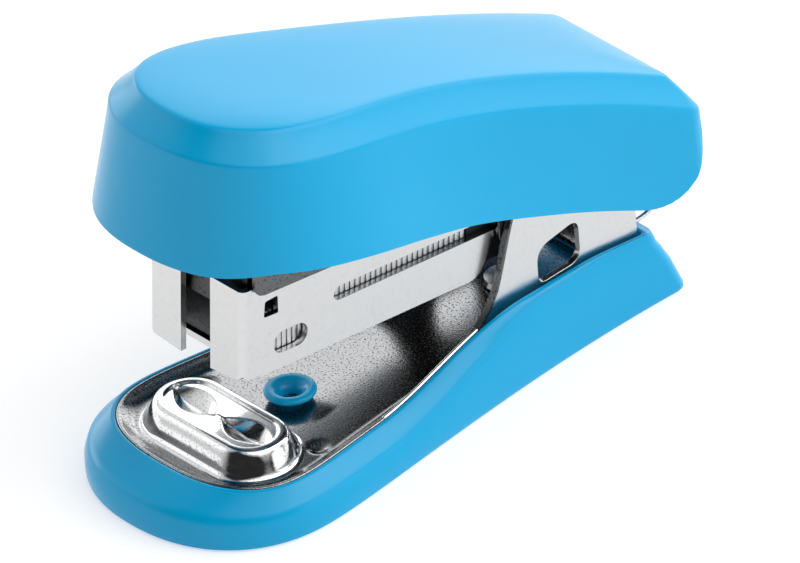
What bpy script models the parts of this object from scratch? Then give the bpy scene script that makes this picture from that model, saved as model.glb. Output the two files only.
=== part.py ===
"""Mini stapler: a pressed steel frame between two moulded shells, as separate pieces on their joints.

The stapler lies along Y with its anvil end towards -Y and stands on Z = 0. Its shells are measured by
station, the distance behind the tip of the base. The magazine, the carrier and everything in them are
measured from the magazine: y behind its front face, z above its lower edge.
"""
import bpy
import bmesh
from math import cos, pi, radians, sin, sqrt
from mathutils import Matrix, Vector

MM = 0.001

# Overall
LENGTH = 73.2            # tip of the base to the back of the handle
SHEET = 0.75             # pressed steel
GAP = 0.3                # between pieces that touch

# Pivot and magazine place
PIVOT_STATION = 58.9
PIVOT_HEIGHT = 18.5
PIN_RADIUS = 1.25
TILT = 5.0               # nose-up angle of the open magazine, degrees
PIVOT_Y = 47.86          # the pivot from the magazine's front face
PIVOT_Z = 7.15           # and above its lower edge

# Magazine
MAGAZINE_HALF = 7.3
MAGAZINE_HEIGHT = 11.0
MAGAZINE_LENGTH = 35.8
FLANGE_WIDTH = 5.0
FLOOR_START = 2.7
SLOT_LOW = 5.1
SLOT_HIGH = 6.77
SLOT_START = 12.7

# Staples, 12.9 mm crown and 6 mm leg
CROWN_HALF = 6.4
LEG = 6.0
WIRE = 0.5
PITCH = 0.73
STAPLES = 40
STRIP_START = 2.6

# Rail, pusher and spring
RAIL_SHEET = 0.7
RAIL_ROOF = 0.6
RAIL_HALF = 5.55
RAIL_TOP = 6.3
PUSHER_LENGTH = 4.6
PUSHER_TOP = 7.6
STOP_Y = 43.4            # front face of the rod's stop
STOP_DEPTH = 1.2
ROD_EYE = 0.85           # radius of the holes that the rod passes
ROD_Z = 3.3
ROD_RADIUS = 0.6
SPRING_RADIUS = 1.35

# Carrier and driver
CARRIER_INNER = 7.45
CARRIER_SHEET = 0.6
CARRIER_TOP = 19.5       # at the front
CARRIER_REAR_TOP = 16.4
CARRIER_LOW = 10.2
CARRIER_FRONT = 1.2
CARRIER_ROOF_END = 46.3
TAB_Y = 3.9              # tab that the driver is riveted to
TAB_SHEET = 0.7
DRIVER_LEAN = 4.9        # degrees, upright at half stroke
DRIVER_SHEET = 0.55
DRIVER_RIVET_X = 3.6

# Base shell and plate
BASE_HALF = 15.5
BASE_REAR_HALF = 10.2
RIM_HALF = 12.3
RIM_REAR_HALF = 9.25
FLOOR_Z = 4.4
EAR_INNER = 8.15
EAR_OUTER = 8.95
ANVIL_STATION = 13.3
ANVIL_TOP = 7.4
RIVET_STATION = 22.9
REAR_RIVET_STATION = 52.9
PLATE_LIP = 0.35         # of blue rim that shows round the plate
TRAY_FLOOR = 1.6

# Pins and small turned pieces
RUNNING = 0.2            # clearance round the hinge pin
PIN_HALF = 9.6
BUSH_HALF = 4.3
BUSH_RADIUS = 1.85
RING_RADIUS = 2.3

# Springs, by the radius of their wires
LIFT_WIRE = 0.35
HANDLE_WIRE = 0.28
PUSHER_WIRE = 0.2
PUSHER_TURNS = 8

# Handle
SKIRT_WALL = 1.5

FRONT_STEPS = 14
SIDE_STEPS = 16
CORNER_STEPS = 4
BACK_STEPS = 2


def clear_scene():
    """Remove whatever objects are in the scene."""
    for old in list(bpy.data.objects):
        bpy.data.objects.remove(old, do_unlink=True)


def material(name, colour, roughness, metallic):
    """A plain Principled finish."""
    finish = bpy.data.materials.new(name)
    finish.use_nodes = True
    shader = finish.node_tree.nodes["Principled BSDF"]
    shader.inputs["Base Color"].default_value = (*colour, 1.0)
    shader.inputs["Roughness"].default_value = roughness
    shader.inputs["Metallic"].default_value = metallic
    return finish


# Meshes ---------------------------------------------------------------------------------------------

def new_object(name, bm, finish, parent=None):
    """Make an object of a bmesh given in millimetres."""
    bmesh.ops.recalc_face_normals(bm, faces=bm.faces)
    bmesh.ops.scale(bm, vec=Vector((MM, MM, MM)), verts=bm.verts)
    mesh = bpy.data.meshes.new(name)
    bm.to_mesh(mesh)
    bm.free()
    mesh.materials.append(finish)
    made = bpy.data.objects.new(name, mesh)
    bpy.context.scene.collection.objects.link(made)
    made.parent = parent
    return made


def smooth(made, angle=35.0):
    """Shade an object smooth up to an angle between its faces."""
    made.data.shade_smooth()
    made.data.set_sharp_from_angle(angle=radians(angle))


def box(x0, x1, y0, y1, z0, z1):
    """A bmesh block between two corners."""
    bm = bmesh.new()
    bmesh.ops.create_cube(bm, size=1.0)
    bmesh.ops.scale(bm, vec=Vector((x1 - x0, y1 - y0, z1 - z0)), verts=bm.verts)
    bmesh.ops.translate(bm, vec=Vector(((x0 + x1) / 2, (y0 + y1) / 2, (z0 + z1) / 2)), verts=bm.verts)
    return bm


def extrusion(outline, x0, x1, holes=()):
    """Extrude a side-view outline of (y, z) points, with holes, from x0 to x1."""
    bm = bmesh.new()
    edges = []
    for loop in (outline, *holes):
        verts = [bm.verts.new((x0, y, z)) for y, z in loop]
        edges += [bm.edges.new((verts[i - 1], verts[i])) for i in range(len(verts))]
    bmesh.ops.triangle_fill(bm, use_beauty=True, edges=edges)
    grown = bmesh.ops.extrude_face_region(bm, geom=list(bm.faces))
    moved = [item for item in grown["geom"] if isinstance(item, bmesh.types.BMVert)]
    bmesh.ops.translate(bm, vec=Vector((x1 - x0, 0, 0)), verts=moved)
    return bm


def revolved(profile, axis, centre, steps=24):
    """Turn a closed profile of (radius, height) points about an axis through a centre."""
    bm = bmesh.new()
    rings = []
    for k in range(steps):
        angle = 2 * pi * k / steps
        ring = [bm.verts.new((r * cos(angle), r * sin(angle), h)) for r, h in profile]
        rings.append(ring)
    count = len(profile)
    for k in range(steps):
        here, there = rings[k], rings[(k + 1) % steps]
        for i in range(count):
            j = (i + 1) % count
            if profile[i][0] > 0 or profile[j][0] > 0:
                bm.faces.new((here[i], there[i], there[j], here[j]))
    bmesh.ops.remove_doubles(bm, verts=bm.verts, dist=1e-5)
    turn = Vector((0, 0, 1)).rotation_difference(Vector(axis)).to_matrix().to_4x4()
    bmesh.ops.transform(bm, matrix=Matrix.Translation(Vector(centre)) @ turn, verts=bm.verts)
    return bm


def cylinder(radius, x0, x1, y, z, steps=20):
    """A rod along X."""
    return revolved([(0, x0), (radius, x0), (radius, x1), (0, x1)], (1, 0, 0), (0, y, z), steps)


def ring_solid(rings):
    """Close a run of matching rings into a solid, each end capped across its width."""
    bm = bmesh.new()
    rows = [[bm.verts.new(point) for point in ring] for ring in rings]
    count = len(rows[0])
    for low, high in zip(rows, rows[1:]):
        for i in range(count):
            j = (i + 1) % count
            bm.faces.new((low[i], low[j], high[j], high[i]))
    for row in (rows[0], rows[-1]):
        cap(bm, row)
    return bm


def cap(bm, row):
    """Close a ring: a level one with one face, an arched one with strips across its width."""
    if max(v.co.z for v in row) - min(v.co.z for v in row) < 1e-6:
        bm.faces.new(row)
        return
    count = len(row)
    back = count // 2 - BACK_STEPS
    bm.faces.new((row[0], row[1], row[-1]))
    for i in range(1, back - 1):
        bm.faces.new((row[i], row[i + 1], row[count - i - 1], row[count - i]))
    bm.faces.new(row[back - 1:count - back + 2])


def combine(first, *others, operation="UNION"):
    """Join bmeshes, or cut the others out of the first, with an exact Boolean."""
    shapes = []
    for bm in (first, *others):
        bmesh.ops.recalc_face_normals(bm, faces=bm.faces)
        mesh = bpy.data.meshes.new("shape")
        bm.to_mesh(mesh)
        bm.free()
        shape = bpy.data.objects.new("shape", mesh)
        bpy.context.scene.collection.objects.link(shape)
        shapes.append(shape)
    for other in shapes[1:]:
        step = shapes[0].modifiers.new("step", "BOOLEAN")
        step.operation = operation
        step.solver = "EXACT"
        step.object = other
    result = bmesh.new()
    result.from_object(shapes[0], bpy.context.evaluated_depsgraph_get())
    for shape in shapes:
        mesh = shape.data
        bpy.data.objects.remove(shape, do_unlink=True)
        bpy.data.meshes.remove(mesh)
    return result


# Outlines -------------------------------------------------------------------------------------------

def arc(cy, cz, radius, start, end, steps=6):
    """Points of an arc in the side view, angles in degrees."""
    angles = [radians(start + (end - start) * k / steps) for k in range(steps + 1)]
    return [(cy + radius * cos(a), cz + radius * sin(a)) for a in angles]


def stadium(cy, cz, length, height, steps=6):
    """A long round-ended hole."""
    radius = height / 2
    reach = length / 2 - radius
    return arc(cy + reach, cz, radius, -90, 90, steps) + arc(cy - reach, cz, radius, 90, 270, steps)


def rounded(points, radius, steps=4):
    """Round every corner of a polygon with short quadratic curves."""
    result = []
    for i, corner in enumerate(points):
        here = Vector(corner)
        before = Vector(points[i - 1])
        after = Vector(points[(i + 1) % len(points)])
        start = here + (before - here).normalized() * min(radius, (before - here).length * 0.49)
        end = here + (after - here).normalized() * min(radius, (after - here).length * 0.49)
        for k in range(steps + 1):
            t = k / steps
            result.append(tuple(start * (1 - t) ** 2 + here * 2 * t * (1 - t) + end * t ** 2))
    return result


def bezier(a, b, c, d, t):
    """A number along a cubic curve."""
    return a * (1 - t) ** 3 + 3 * b * t * (1 - t) ** 2 + 3 * c * t * t * (1 - t) + d * t ** 3


def ease(value, start, end):
    """A smooth step from 0 to 1 between two values."""
    t = min(max((value - start) / (end - start), 0.0), 1.0)
    return t * t * (3 - 2 * t)


def plan(tip, half, widest, waist, rear_half, rear, corner, power=2.5):
    """Half of a shell's plan, from its tip to the middle of its back, as (half width, station).

    waist holds the two stations that the side's curve is drawn towards, and its half width there.
    """
    points = []
    for k in range(FRONT_STEPS):
        angle = pi / 2 * k / FRONT_STEPS
        across = half * sin(angle) ** (2 / power)
        along = widest - (widest - tip) * cos(angle) ** (2 / power)
        points.append((across, along))
    first, second, waist_half = waist
    for k in range(SIDE_STEPS):
        t = k / SIDE_STEPS
        points.append((bezier(half, half, waist_half, rear_half, t),
                       bezier(widest, first, second, rear - corner, t)))
    for k in range(CORNER_STEPS):
        angle = pi / 2 * k / CORNER_STEPS
        points.append((rear_half - corner + corner * cos(angle), rear - corner + corner * sin(angle)))
    for k in range(BACK_STEPS + 1):
        points.append(((rear_half - corner) * (1 - k / BACK_STEPS), rear))
    return points


def level(half_plan, height):
    """A closed ring from half a plan; height is a number or a function of the station."""
    z_of = height if callable(height) else lambda station: height
    right = [(w, s - LENGTH / 2, z_of(s)) for w, s in half_plan]
    left = [(-x, y, z) for x, y, z in reversed(right[1:-1])]
    return right + left


def y_of(station):
    """Y of a station."""
    return station - LENGTH / 2


def from_magazine(bm):
    """Move a shape from the magazine's measures to its hinge frame."""
    bmesh.ops.translate(bm, vec=Vector((0, -PIVOT_Y, -PIVOT_Z)), verts=bm.verts)
    return bm


# Base -----------------------------------------------------------------------------------------------

def rim_height(station):
    """Top of the base shell's rim."""
    return 5.5 + 4.0 * ease(station, 25.0, 47.0) - 0.7 * ease(station, 56.0, 66.0)


def base_plan(inset, rear):
    """Outer plan of the base shell, drawn in by an inset."""
    return plan(inset, BASE_HALF - inset, 14.0, (22.0, 44.0, BASE_REAR_HALF - inset),
                BASE_REAR_HALF - inset, rear, 2.5, 2.35)


def rim_plan(inset, rear):
    """Plan of the opening in the base shell, which the steel plate fills."""
    return plan(5.2 + inset, RIM_HALF - inset, 14.0, (20.0, 30.0, RIM_REAR_HALF - inset),
                RIM_REAR_HALF - inset, rear, 0.6)


def build_base_shell(finish):
    """Moulded tray that the steel plate sits in, with posts for its two rivets."""
    rings = [
        level(base_plan(0.6, 68.7), 0.0),
        level(base_plan(0.0, 68.9), 0.6),
        level(base_plan(0.0, 68.3), 1.8),
        level(base_plan(0.5, 66.0), lambda s: rim_height(s) - 2.2),
        level(base_plan(1.0, 65.6), lambda s: rim_height(s) - 1.3),
        level(rim_plan(-0.4, 65.0), rim_height),
        level(rim_plan(-0.1, 64.7), lambda s: rim_height(s) - 0.15),
        level(rim_plan(0.0, 64.6), lambda s: rim_height(s) - 0.5),
        level(rim_plan(0.0, 64.6), TRAY_FLOOR),
    ]
    tray = ring_solid(rings)
    posts = []
    post_top = FLOOR_Z - SHEET - GAP
    root = TRAY_FLOOR - 0.4
    for station in (RIVET_STATION, REAR_RIVET_STATION):
        profile = [(1.5, root), (3.2, root), (3.2, post_top), (1.5, post_top)]
        posts.append(revolved(profile, (0, 0, 1), (0, y_of(station), 0)))
    shell = new_object("base_shell", combine(tray, *posts), finish)
    smooth(shell)
    return shell


def ear_outline():
    """Side view of a hinge ear, which sweeps up out of the plate."""
    front = [(39.0, 6.0), (41.6, 7.9), (43.8, 10.4), (45.0, 13.1), (46.3, 17.0), (47.6, 20.5)]
    top = arc(51.0, 20.7, 3.2, 150, 90, 4) + arc(60.9, 20.7, 3.2, 90, 0, 6)
    return [(y_of(s), z) for s, z in front + top + [(64.1, 6.0)]]


def build_base_plate(finish):
    """Pressed plate: a shallow pan with the anvil at its front and the two hinge ears at its rear."""
    lip = PLATE_LIP
    rings = [
        level(rim_plan(lip + 1.5, 63.2), FLOOR_Z - SHEET),
        level(rim_plan(lip + 0.5, 64.0), FLOOR_Z - SHEET + 0.5),
        level(rim_plan(lip, 64.2), lambda s: rim_height(s) - 1.0),
        level(rim_plan(lip, 64.2), lambda s: rim_height(s) - lip),
        level(rim_plan(lip + SHEET, 63.5), lambda s: rim_height(s) - lip),
        level(rim_plan(lip + SHEET, 63.5), lambda s: rim_height(s) - 0.6),
        level(rim_plan(lip + SHEET + 0.7, 62.7), FLOOR_Z + 0.2),
        level(rim_plan(lip + SHEET + 1.6, 61.8), FLOOR_Z),
    ]
    pan = ring_solid(rings)
    ears = []
    window = rounded([(50.9, 10.2), (55.5, 10.4), (55.5, 14.1), (50.9, 12.9)], 1.0)
    hole = arc(y_of(PIVOT_STATION), PIVOT_HEIGHT, PIN_RADIUS + 0.25, 0, 345, 23)
    for side in (-1, 1):
        inner, outer = side * EAR_INNER, side * EAR_OUTER
        holes = [[(y_of(s), z) for s, z in window], hole]
        ears.append(extrusion(ear_outline(), min(inner, outer), max(inner, outer), holes))
    foot = [anvil_ring(4.9, 9.6, FLOOR_Z - 0.3), anvil_ring(4.9, 9.6, FLOOR_Z),
            anvil_ring(4.3, 9.0, FLOOR_Z + 1.0), anvil_ring(3.9, 8.6, ANVIL_TOP - 0.7),
            anvil_ring(3.3, 8.0, ANVIL_TOP - 0.15), anvil_ring(2.8, 7.5, ANVIL_TOP)]
    plate = combine(pan, *ears, ring_solid(foot))
    grooves = []
    for side in (-1, 1):
        bowl = bmesh.new()
        bmesh.ops.create_uvsphere(bowl, u_segments=16, v_segments=10, radius=1.0)
        bmesh.ops.scale(bowl, vec=Vector((2.9, 1.25, 1.1)), verts=bowl.verts)
        bmesh.ops.translate(bowl, vec=Vector((side * 3.6, y_of(ANVIL_STATION), ANVIL_TOP)), verts=bowl.verts)
        grooves.append(bowl)
    for station in (RIVET_STATION, REAR_RIVET_STATION):
        profile = [(0, 2.0), (1.9, 2.0), (1.9, 6.0), (0, 6.0)]
        grooves.append(revolved(profile, (0, 0, 1), (0, y_of(station), 0)))
    made = new_object("base_plate", combine(plate, *grooves, operation="DIFFERENCE"), finish)
    smooth(made)
    return made


def anvil_ring(half_depth, half_width, height, steps=6):
    """A stadium-shaped ring across the plate, ordered like the rings of a plan."""
    reach = half_width - half_depth
    middle = y_of(ANVIL_STATION)
    points = [(0.0, middle - half_depth)]
    for k in range(2 * steps + 1):
        angle = -pi / 2 + pi * k / (2 * steps)
        points.append((reach + half_depth * cos(angle), middle + half_depth * sin(angle)))
    points.append((0.0, middle + half_depth))
    right = [(x, y, height) for x, y in points]
    left = [(-x, y, z) for x, y, z in reversed(right[1:-1])]
    return right + left


def build_plate_rivets(blue, steel):
    """Hollow moulded rivet at the front and a steel one at the rear, which hold plate to shell."""
    floor = FLOOR_Z
    eyelet = [(0.75, 1.9), (1.25, 1.9), (1.25, floor + 0.2), (2.5, floor + 0.2), (2.75, floor + 0.6),
              (2.5, floor + 1.1), (1.9, floor + 1.25), (1.3, floor + 1.05), (0.85, floor + 0.5)]
    front = new_object("plate_rivet_front", revolved(eyelet, (0, 0, 1), (0, y_of(RIVET_STATION), 0), 28), blue)
    smooth(front, 60)
    head = [(0, 1.9), (1.2, 1.9), (1.2, floor + 0.2), (2.4, floor + 0.2), (2.1, floor + 0.7), (0, floor + 0.9)]
    place = (0, y_of(REAR_RIVET_STATION), 0)
    rear = new_object("plate_rivet_rear", revolved(head, (0, 0, 1), place, 20), steel)
    smooth(rear)


def build_pivot(steel, dark, white):
    """Hinge pin through the ears, its retaining rings, its bush and the magazine's lift spring."""
    y, z = y_of(PIVOT_STATION), PIVOT_HEIGHT
    pin = new_object("pivot_pin", cylinder(PIN_RADIUS, -PIN_HALF, PIN_HALF, y, z), steel)
    smooth(pin)
    for side, name in ((-1, "pivot_ring_left"), (1, "pivot_ring_right")):
        inner, outer = side * (EAR_OUTER + 0.1), side * (EAR_OUTER + 0.5)
        bore = PIN_RADIUS + RUNNING
        profile = [(bore, inner), (RING_RADIUS, inner), (RING_RADIUS, outer), (bore, outer)]
        ring = new_object(name, revolved(profile, (1, 0, 0), (0, y, z)), dark)
        smooth(ring)
    bore = PIN_RADIUS + RUNNING
    profile = [(bore, -BUSH_HALF), (BUSH_RADIUS, -BUSH_HALF), (BUSH_RADIUS, BUSH_HALF), (bore, BUSH_HALF)]
    bush = new_object("pivot_bush", revolved(profile, (1, 0, 0), (0, y, z)), white)
    smooth(bush)


def wire(points, radius, sides=8):
    """A round wire through points, closed at both ends."""
    bm = bmesh.new()
    path = [Vector(p) for p in points]
    rings = []
    normal = None
    for i, here in enumerate(path):
        ahead = path[min(i + 1, len(path) - 1)] - path[max(i - 1, 0)]
        ahead.normalize()
        if normal is None:
            normal = ahead.orthogonal().normalized()
        normal = (normal - ahead * normal.dot(ahead)).normalized()
        other = ahead.cross(normal)
        rings.append([bm.verts.new(here + radius * (normal * cos(2 * pi * k / sides)
                                                    + other * sin(2 * pi * k / sides)))
                      for k in range(sides)])
    for low, high in zip(rings, rings[1:]):
        for k in range(sides):
            j = (k + 1) % sides
            bm.faces.new((low[k], low[j], high[j], high[k]))
    bm.faces.new(rings[0])
    bm.faces.new(rings[-1])
    return bm


def coil(x0, x1, turns, radius, y, z, start, per_turn=12):
    """Points of a coil along X about (y, z), from a starting angle in degrees."""
    count = int(turns * per_turn)
    points = []
    for k in range(count + 1):
        t = k / count
        angle = radians(start) + 2 * pi * turns * t
        points.append((x0 + (x1 - x0) * t, y + radius * cos(angle), z + radius * sin(angle)))
    return points


def build_lift_spring(steel):
    """Torsion spring on the bush: one leg bears on the plate, the other lifts the rail."""
    y, z = y_of(PIVOT_STATION), PIVOT_HEIGHT
    turns = coil(-3.4, -0.6, 3.5, 2.35, y, z, 180.0)
    down = [(-3.4, y - 2.45, z - 7.5), (-3.4, y - 2.4, z - 4.0)]
    back = [(-0.6, y + 3.4, z - 5.0), (-0.6, y + 3.9, z - 8.5)]
    spring = new_object("lift_spring", wire(down + turns + back, LIFT_WIRE, 6), steel)
    smooth(spring, 60)


# Magazine -------------------------------------------------------------------------------------------

def wall_outline():
    """Side view of a magazine wall, with the long slot that is open to the rear."""
    radius = (SLOT_HIGH - SLOT_LOW) / 2
    foot = [(0.0, 0.0), (31.3, 0.0), (33.0, 0.5), (34.0, 1.8), (34.8, 4.2), (MAGAZINE_LENGTH, SLOT_LOW)]
    slot = arc(SLOT_START + radius, SLOT_LOW + radius, radius, 270, 90)
    top = [(MAGAZINE_LENGTH + 1.2, SLOT_HIGH), (MAGAZINE_LENGTH + 1.2, MAGAZINE_HEIGHT), (0.0, MAGAZINE_HEIGHT)]
    return foot + slot + top


def build_magazine(finish, hinge):
    """Bright channel: two walls, a floor behind the driver slot and two front flanges."""
    square = [(3.0, 7.0), (5.0, 7.0), (5.0, 9.0), (3.0, 9.0)]
    holes = [stadium(6.7, 3.17, 4.7, 2.6), square]
    half = MAGAZINE_HALF
    parts = [
        extrusion(wall_outline(), half - SHEET, half, holes),
        extrusion(wall_outline(), -half, SHEET - half, holes),
        box(0.1 - half, half - 0.1, FLOOR_START, 31.4, 0.0, SHEET),
        box(half - FLANGE_WIDTH, half, 0.0, SHEET, 0.0, MAGAZINE_HEIGHT),
        box(-half, FLANGE_WIDTH - half, 0.0, SHEET, 0.0, MAGAZINE_HEIGHT),
    ]
    return new_object("magazine", from_magazine(combine(*parts)), finish, hinge)


def rail_outline():
    """Side view of the rail's cheeks, which rise at the rear to take the hinge pin."""
    low = SHEET + GAP
    return [(FLOOR_START + 0.4, low), (50.4, low), (51.2, 3.0), (51.2, 8.6), (49.6, 10.4), (46.4, 10.4),
            (45.0, 8.6), (44.6, RAIL_TOP), (FLOOR_START + 0.4, RAIL_TOP)]


def build_rail(finish, hinge):
    """Inverted channel that the staples straddle, with a slot in its top for the pusher's tongue."""
    hole = arc(PIVOT_Y, PIVOT_Z, PIN_RADIUS + RUNNING, 0, 345, 23)
    roof_low = RAIL_TOP - RAIL_ROOF
    front = FLOOR_START + 0.4
    slot_start, slot_end, slot_half = 31.6, 44.6, 1.5
    inside = RAIL_HALF - 0.2
    parts = [
        extrusion(rail_outline(), RAIL_HALF - RAIL_SHEET, RAIL_HALF, [hole]),
        extrusion(rail_outline(), -RAIL_HALF, RAIL_SHEET - RAIL_HALF, [hole]),
        box(-inside, inside, front, slot_start, roof_low, RAIL_TOP),
        box(slot_half, inside, slot_start - 0.6, slot_end, roof_low, RAIL_TOP),
        box(-inside, -slot_half, slot_start - 0.6, slot_end, roof_low, RAIL_TOP),
        box(-inside, inside, front, front + RAIL_SHEET, SHEET + GAP, RAIL_TOP),
    ]
    return new_object("staple_rail", from_magazine(combine(*parts)), finish, hinge)


def build_strip(finish, hinge):
    """Half strip of staples, glued side by side into one inverted channel with a groove between wires."""
    low = SHEET + 0.15
    top = low + LEG
    bm = bmesh.new()
    rings = []
    groove = 0.08
    for k in range(STAPLES):
        for part, inset in ((0.12, groove), (0.25, 0.0), (0.75, 0.0), (0.88, groove)):
            y = STRIP_START + (k + part) * PITCH
            out = CROWN_HALF - inset
            high = top - inset
            inner = CROWN_HALF - WIRE - 0.05
            under = top - WIRE - 0.05
            rings.append([bm.verts.new((x, y, z)) for x, z in (
                (-out, low), (-out, high), (out, high), (out, low),
                (inner, low), (inner, under), (-inner, under), (-inner, low))])
    for near, far in zip(rings, rings[1:]):
        for i in range(8):
            j = (i + 1) % 8
            bm.faces.new((near[i], near[j], far[j], far[i]))
    for ring in (rings[0], rings[-1]):
        bm.faces.new((ring[0], ring[1], ring[6], ring[7]))
        bm.faces.new((ring[1], ring[2], ring[5], ring[6]))
        bm.faces.new((ring[2], ring[3], ring[4], ring[5]))
    return new_object("staple_strip", from_magazine(bm), finish, hinge)


def strip_end():
    """Rear end of the staple strip."""
    return STRIP_START + STAPLES * PITCH


def build_rod(steel, dark, hinge):
    """Guide rod of the pusher's spring, and the stop that carries its rear end."""
    start, end = 5.0, STOP_Y + STOP_DEPTH + 0.3
    shaft = [(0, start), (ROD_RADIUS, start), (ROD_RADIUS, end), (0, end)]
    rod = revolved(shaft, (0, 1, 0), (0, 0, ROD_Z), 12)
    smooth(new_object("spring_rod", from_magazine(rod), steel, hinge))
    block = box(-4.5, 4.5, STOP_Y, STOP_Y + STOP_DEPTH, SHEET + GAP, 5.4)
    hole = [(0, STOP_Y - 1), (ROD_EYE, STOP_Y - 1), (ROD_EYE, STOP_Y + 3), (0, STOP_Y + 3)]
    bore = revolved(hole, (0, 1, 0), (0, 0, ROD_Z), 12)
    stop = combine(block, bore, operation="DIFFERENCE")
    return new_object("rod_stop", from_magazine(stop), dark, hinge)


def build_pusher(finish, parent):
    """Saddle on the rail behind the staples, with a tongue down to an eye on the rod."""
    y0 = strip_end() + 0.15
    y1 = y0 + PUSHER_LENGTH
    outer = CROWN_HALF
    side = 0.6
    parts = [
        box(-outer, outer, y0, y1, RAIL_TOP + RUNNING, PUSHER_TOP),
        box(-outer, side - outer, y0, y1, SHEET + GAP, PUSHER_TOP - 0.2),
        box(outer - side, outer, y0, y1, SHEET + GAP, PUSHER_TOP - 0.2),
        box(-1.1, 1.1, y0 + 0.4, y0 + 2.0, 2.0, PUSHER_TOP - 0.4),
    ]
    eye = revolved([(0, y0), (ROD_EYE, y0), (ROD_EYE, y1), (0, y1)], (0, 1, 0), (0, 0, ROD_Z), 12)
    shape = combine(combine(*parts), eye, operation="DIFFERENCE")
    return new_object("pusher", from_magazine(shape), finish, parent)


def build_pusher_spring(finish, parent):
    """Compression spring on the rod, between the pusher's tongue and the stop."""
    y0, y1 = strip_end() + 2.8, STOP_Y - 0.5
    count = 12 * PUSHER_TURNS
    points = []
    for k in range(count + 1):
        angle = 2 * pi * PUSHER_TURNS * k / count
        points.append((SPRING_RADIUS * cos(angle), y0 + (y1 - y0) * k / count,
                       ROD_Z + SPRING_RADIUS * sin(angle)))
    spring = new_object("pusher_spring", from_magazine(wire(points, PUSHER_WIRE, 6)), finish, parent)
    smooth(spring, 60)


# Handle ---------------------------------------------------------------------------------------------

def carrier_outline():
    """Side view of the carrier's cheeks: straight along the magazine, deep at the hinge."""
    low = CARRIER_LOW
    front = [(CARRIER_FRONT, low + 1.0), (2.2, low + 0.1), (3.4, low), (33.6, low - 0.6)]
    ear = [(34.8, 7.6), (35.2, 4.2), (36.6, 2.4), (40.0, 2.2), (49.0, 3.2), (51.6, 5.4), (51.6, 9.0)]
    return front + ear + [(50.4, 12.4), (46.4, CARRIER_REAR_TOP), (CARRIER_FRONT, CARRIER_TOP)]


def build_carrier(finish, hinge):
    """Inverted channel inside the handle that carries the driver and turns on the pin."""
    inner = CARRIER_INNER
    outer = inner + CARRIER_SHEET
    hole = arc(PIVOT_Y, PIVOT_Z, PIN_RADIUS + RUNNING, 0, 345, 23)
    roof = [(CARRIER_FRONT, CARRIER_TOP - CARRIER_SHEET), (CARRIER_ROOF_END, CARRIER_REAR_TOP - CARRIER_SHEET),
            (CARRIER_ROOF_END, CARRIER_REAR_TOP), (CARRIER_FRONT, CARRIER_TOP)]
    parts = [
        extrusion(carrier_outline(), inner, outer, [hole]),
        extrusion(carrier_outline(), -outer, -inner, [hole]),
        extrusion(roof, 0.1 - outer, outer - 0.1),
        box(-CROWN_HALF, CROWN_HALF, TAB_Y, TAB_Y + TAB_SHEET, CARRIER_TOP - 5.2, CARRIER_TOP - 0.5),
    ]
    return new_object("carrier", from_magazine(combine(*parts)), finish, hinge)


def build_driver(finish, dark, hinge):
    """Driver blade in front of the carrier's tab, and the two rivets that hold it there."""
    foot_z = SHEET + LEG + 0.45
    low, high = foot_z, CARRIER_TOP - 1.2
    lean = radians(DRIVER_LEAN)

    def leaning(bm):
        """Lean a shape back about the driver's lower edge."""
        turn = (Matrix.Translation((0, 1.15, foot_z)) @ Matrix.Rotation(-lean, 4, "X")
                @ Matrix.Translation((0, 0, -foot_z)))
        bmesh.ops.transform(bm, matrix=turn, verts=bm.verts)
        return bm

    blade = box(-CROWN_HALF, CROWN_HALF, 0.0, DRIVER_SHEET, low, high)
    new_object("driver_blade", from_magazine(leaning(blade)), finish, hinge)
    for side, name in ((-1, "driver_rivet_left"), (1, "driver_rivet_right")):
        near, far = DRIVER_SHEET + 0.15, 1.75
        shaft = [(0, near), (0.9, near), (0.9, far), (0, far)]
        rivet = revolved(shaft, (0, 1, 0), (side * DRIVER_RIVET_X, 0, CARRIER_TOP - 3.4), 12)
        smooth(new_object(name, from_magazine(leaning(rivet)), dark, hinge))


def crease_height(station):
    """Height of the crease round the handle, where its skirt meets the sloping band."""
    along = station - 6.0
    return 45.0 - 0.15 * along - 0.003077 * along * along


def skirt_height(station):
    """Lower edge of the handle's skirt, which runs up in a round at the rear."""
    crease = crease_height(station)
    turn = min(max((station - 63.0) / 9.0, 0.0), 1.0)
    return min(crease - 12.9 + 14.0 * (1 - sqrt(1 - turn * turn)), crease - 3.0)


def handle_plan(inset, flare=0.0):
    """Plan of the handle at its crease, drawn in by an inset; flare widens its front more than its rear."""
    return plan(6.4 + inset - 0.75 * flare, 13.4 - inset + flare, 20.5,
                (30.0, 33.0, 9.7 - inset + 0.6 * flare), 11.3 - inset + 0.3 * flare, LENGTH - 0.2 - inset,
                max(3.0 - inset, 1.0), 2.8)


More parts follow.
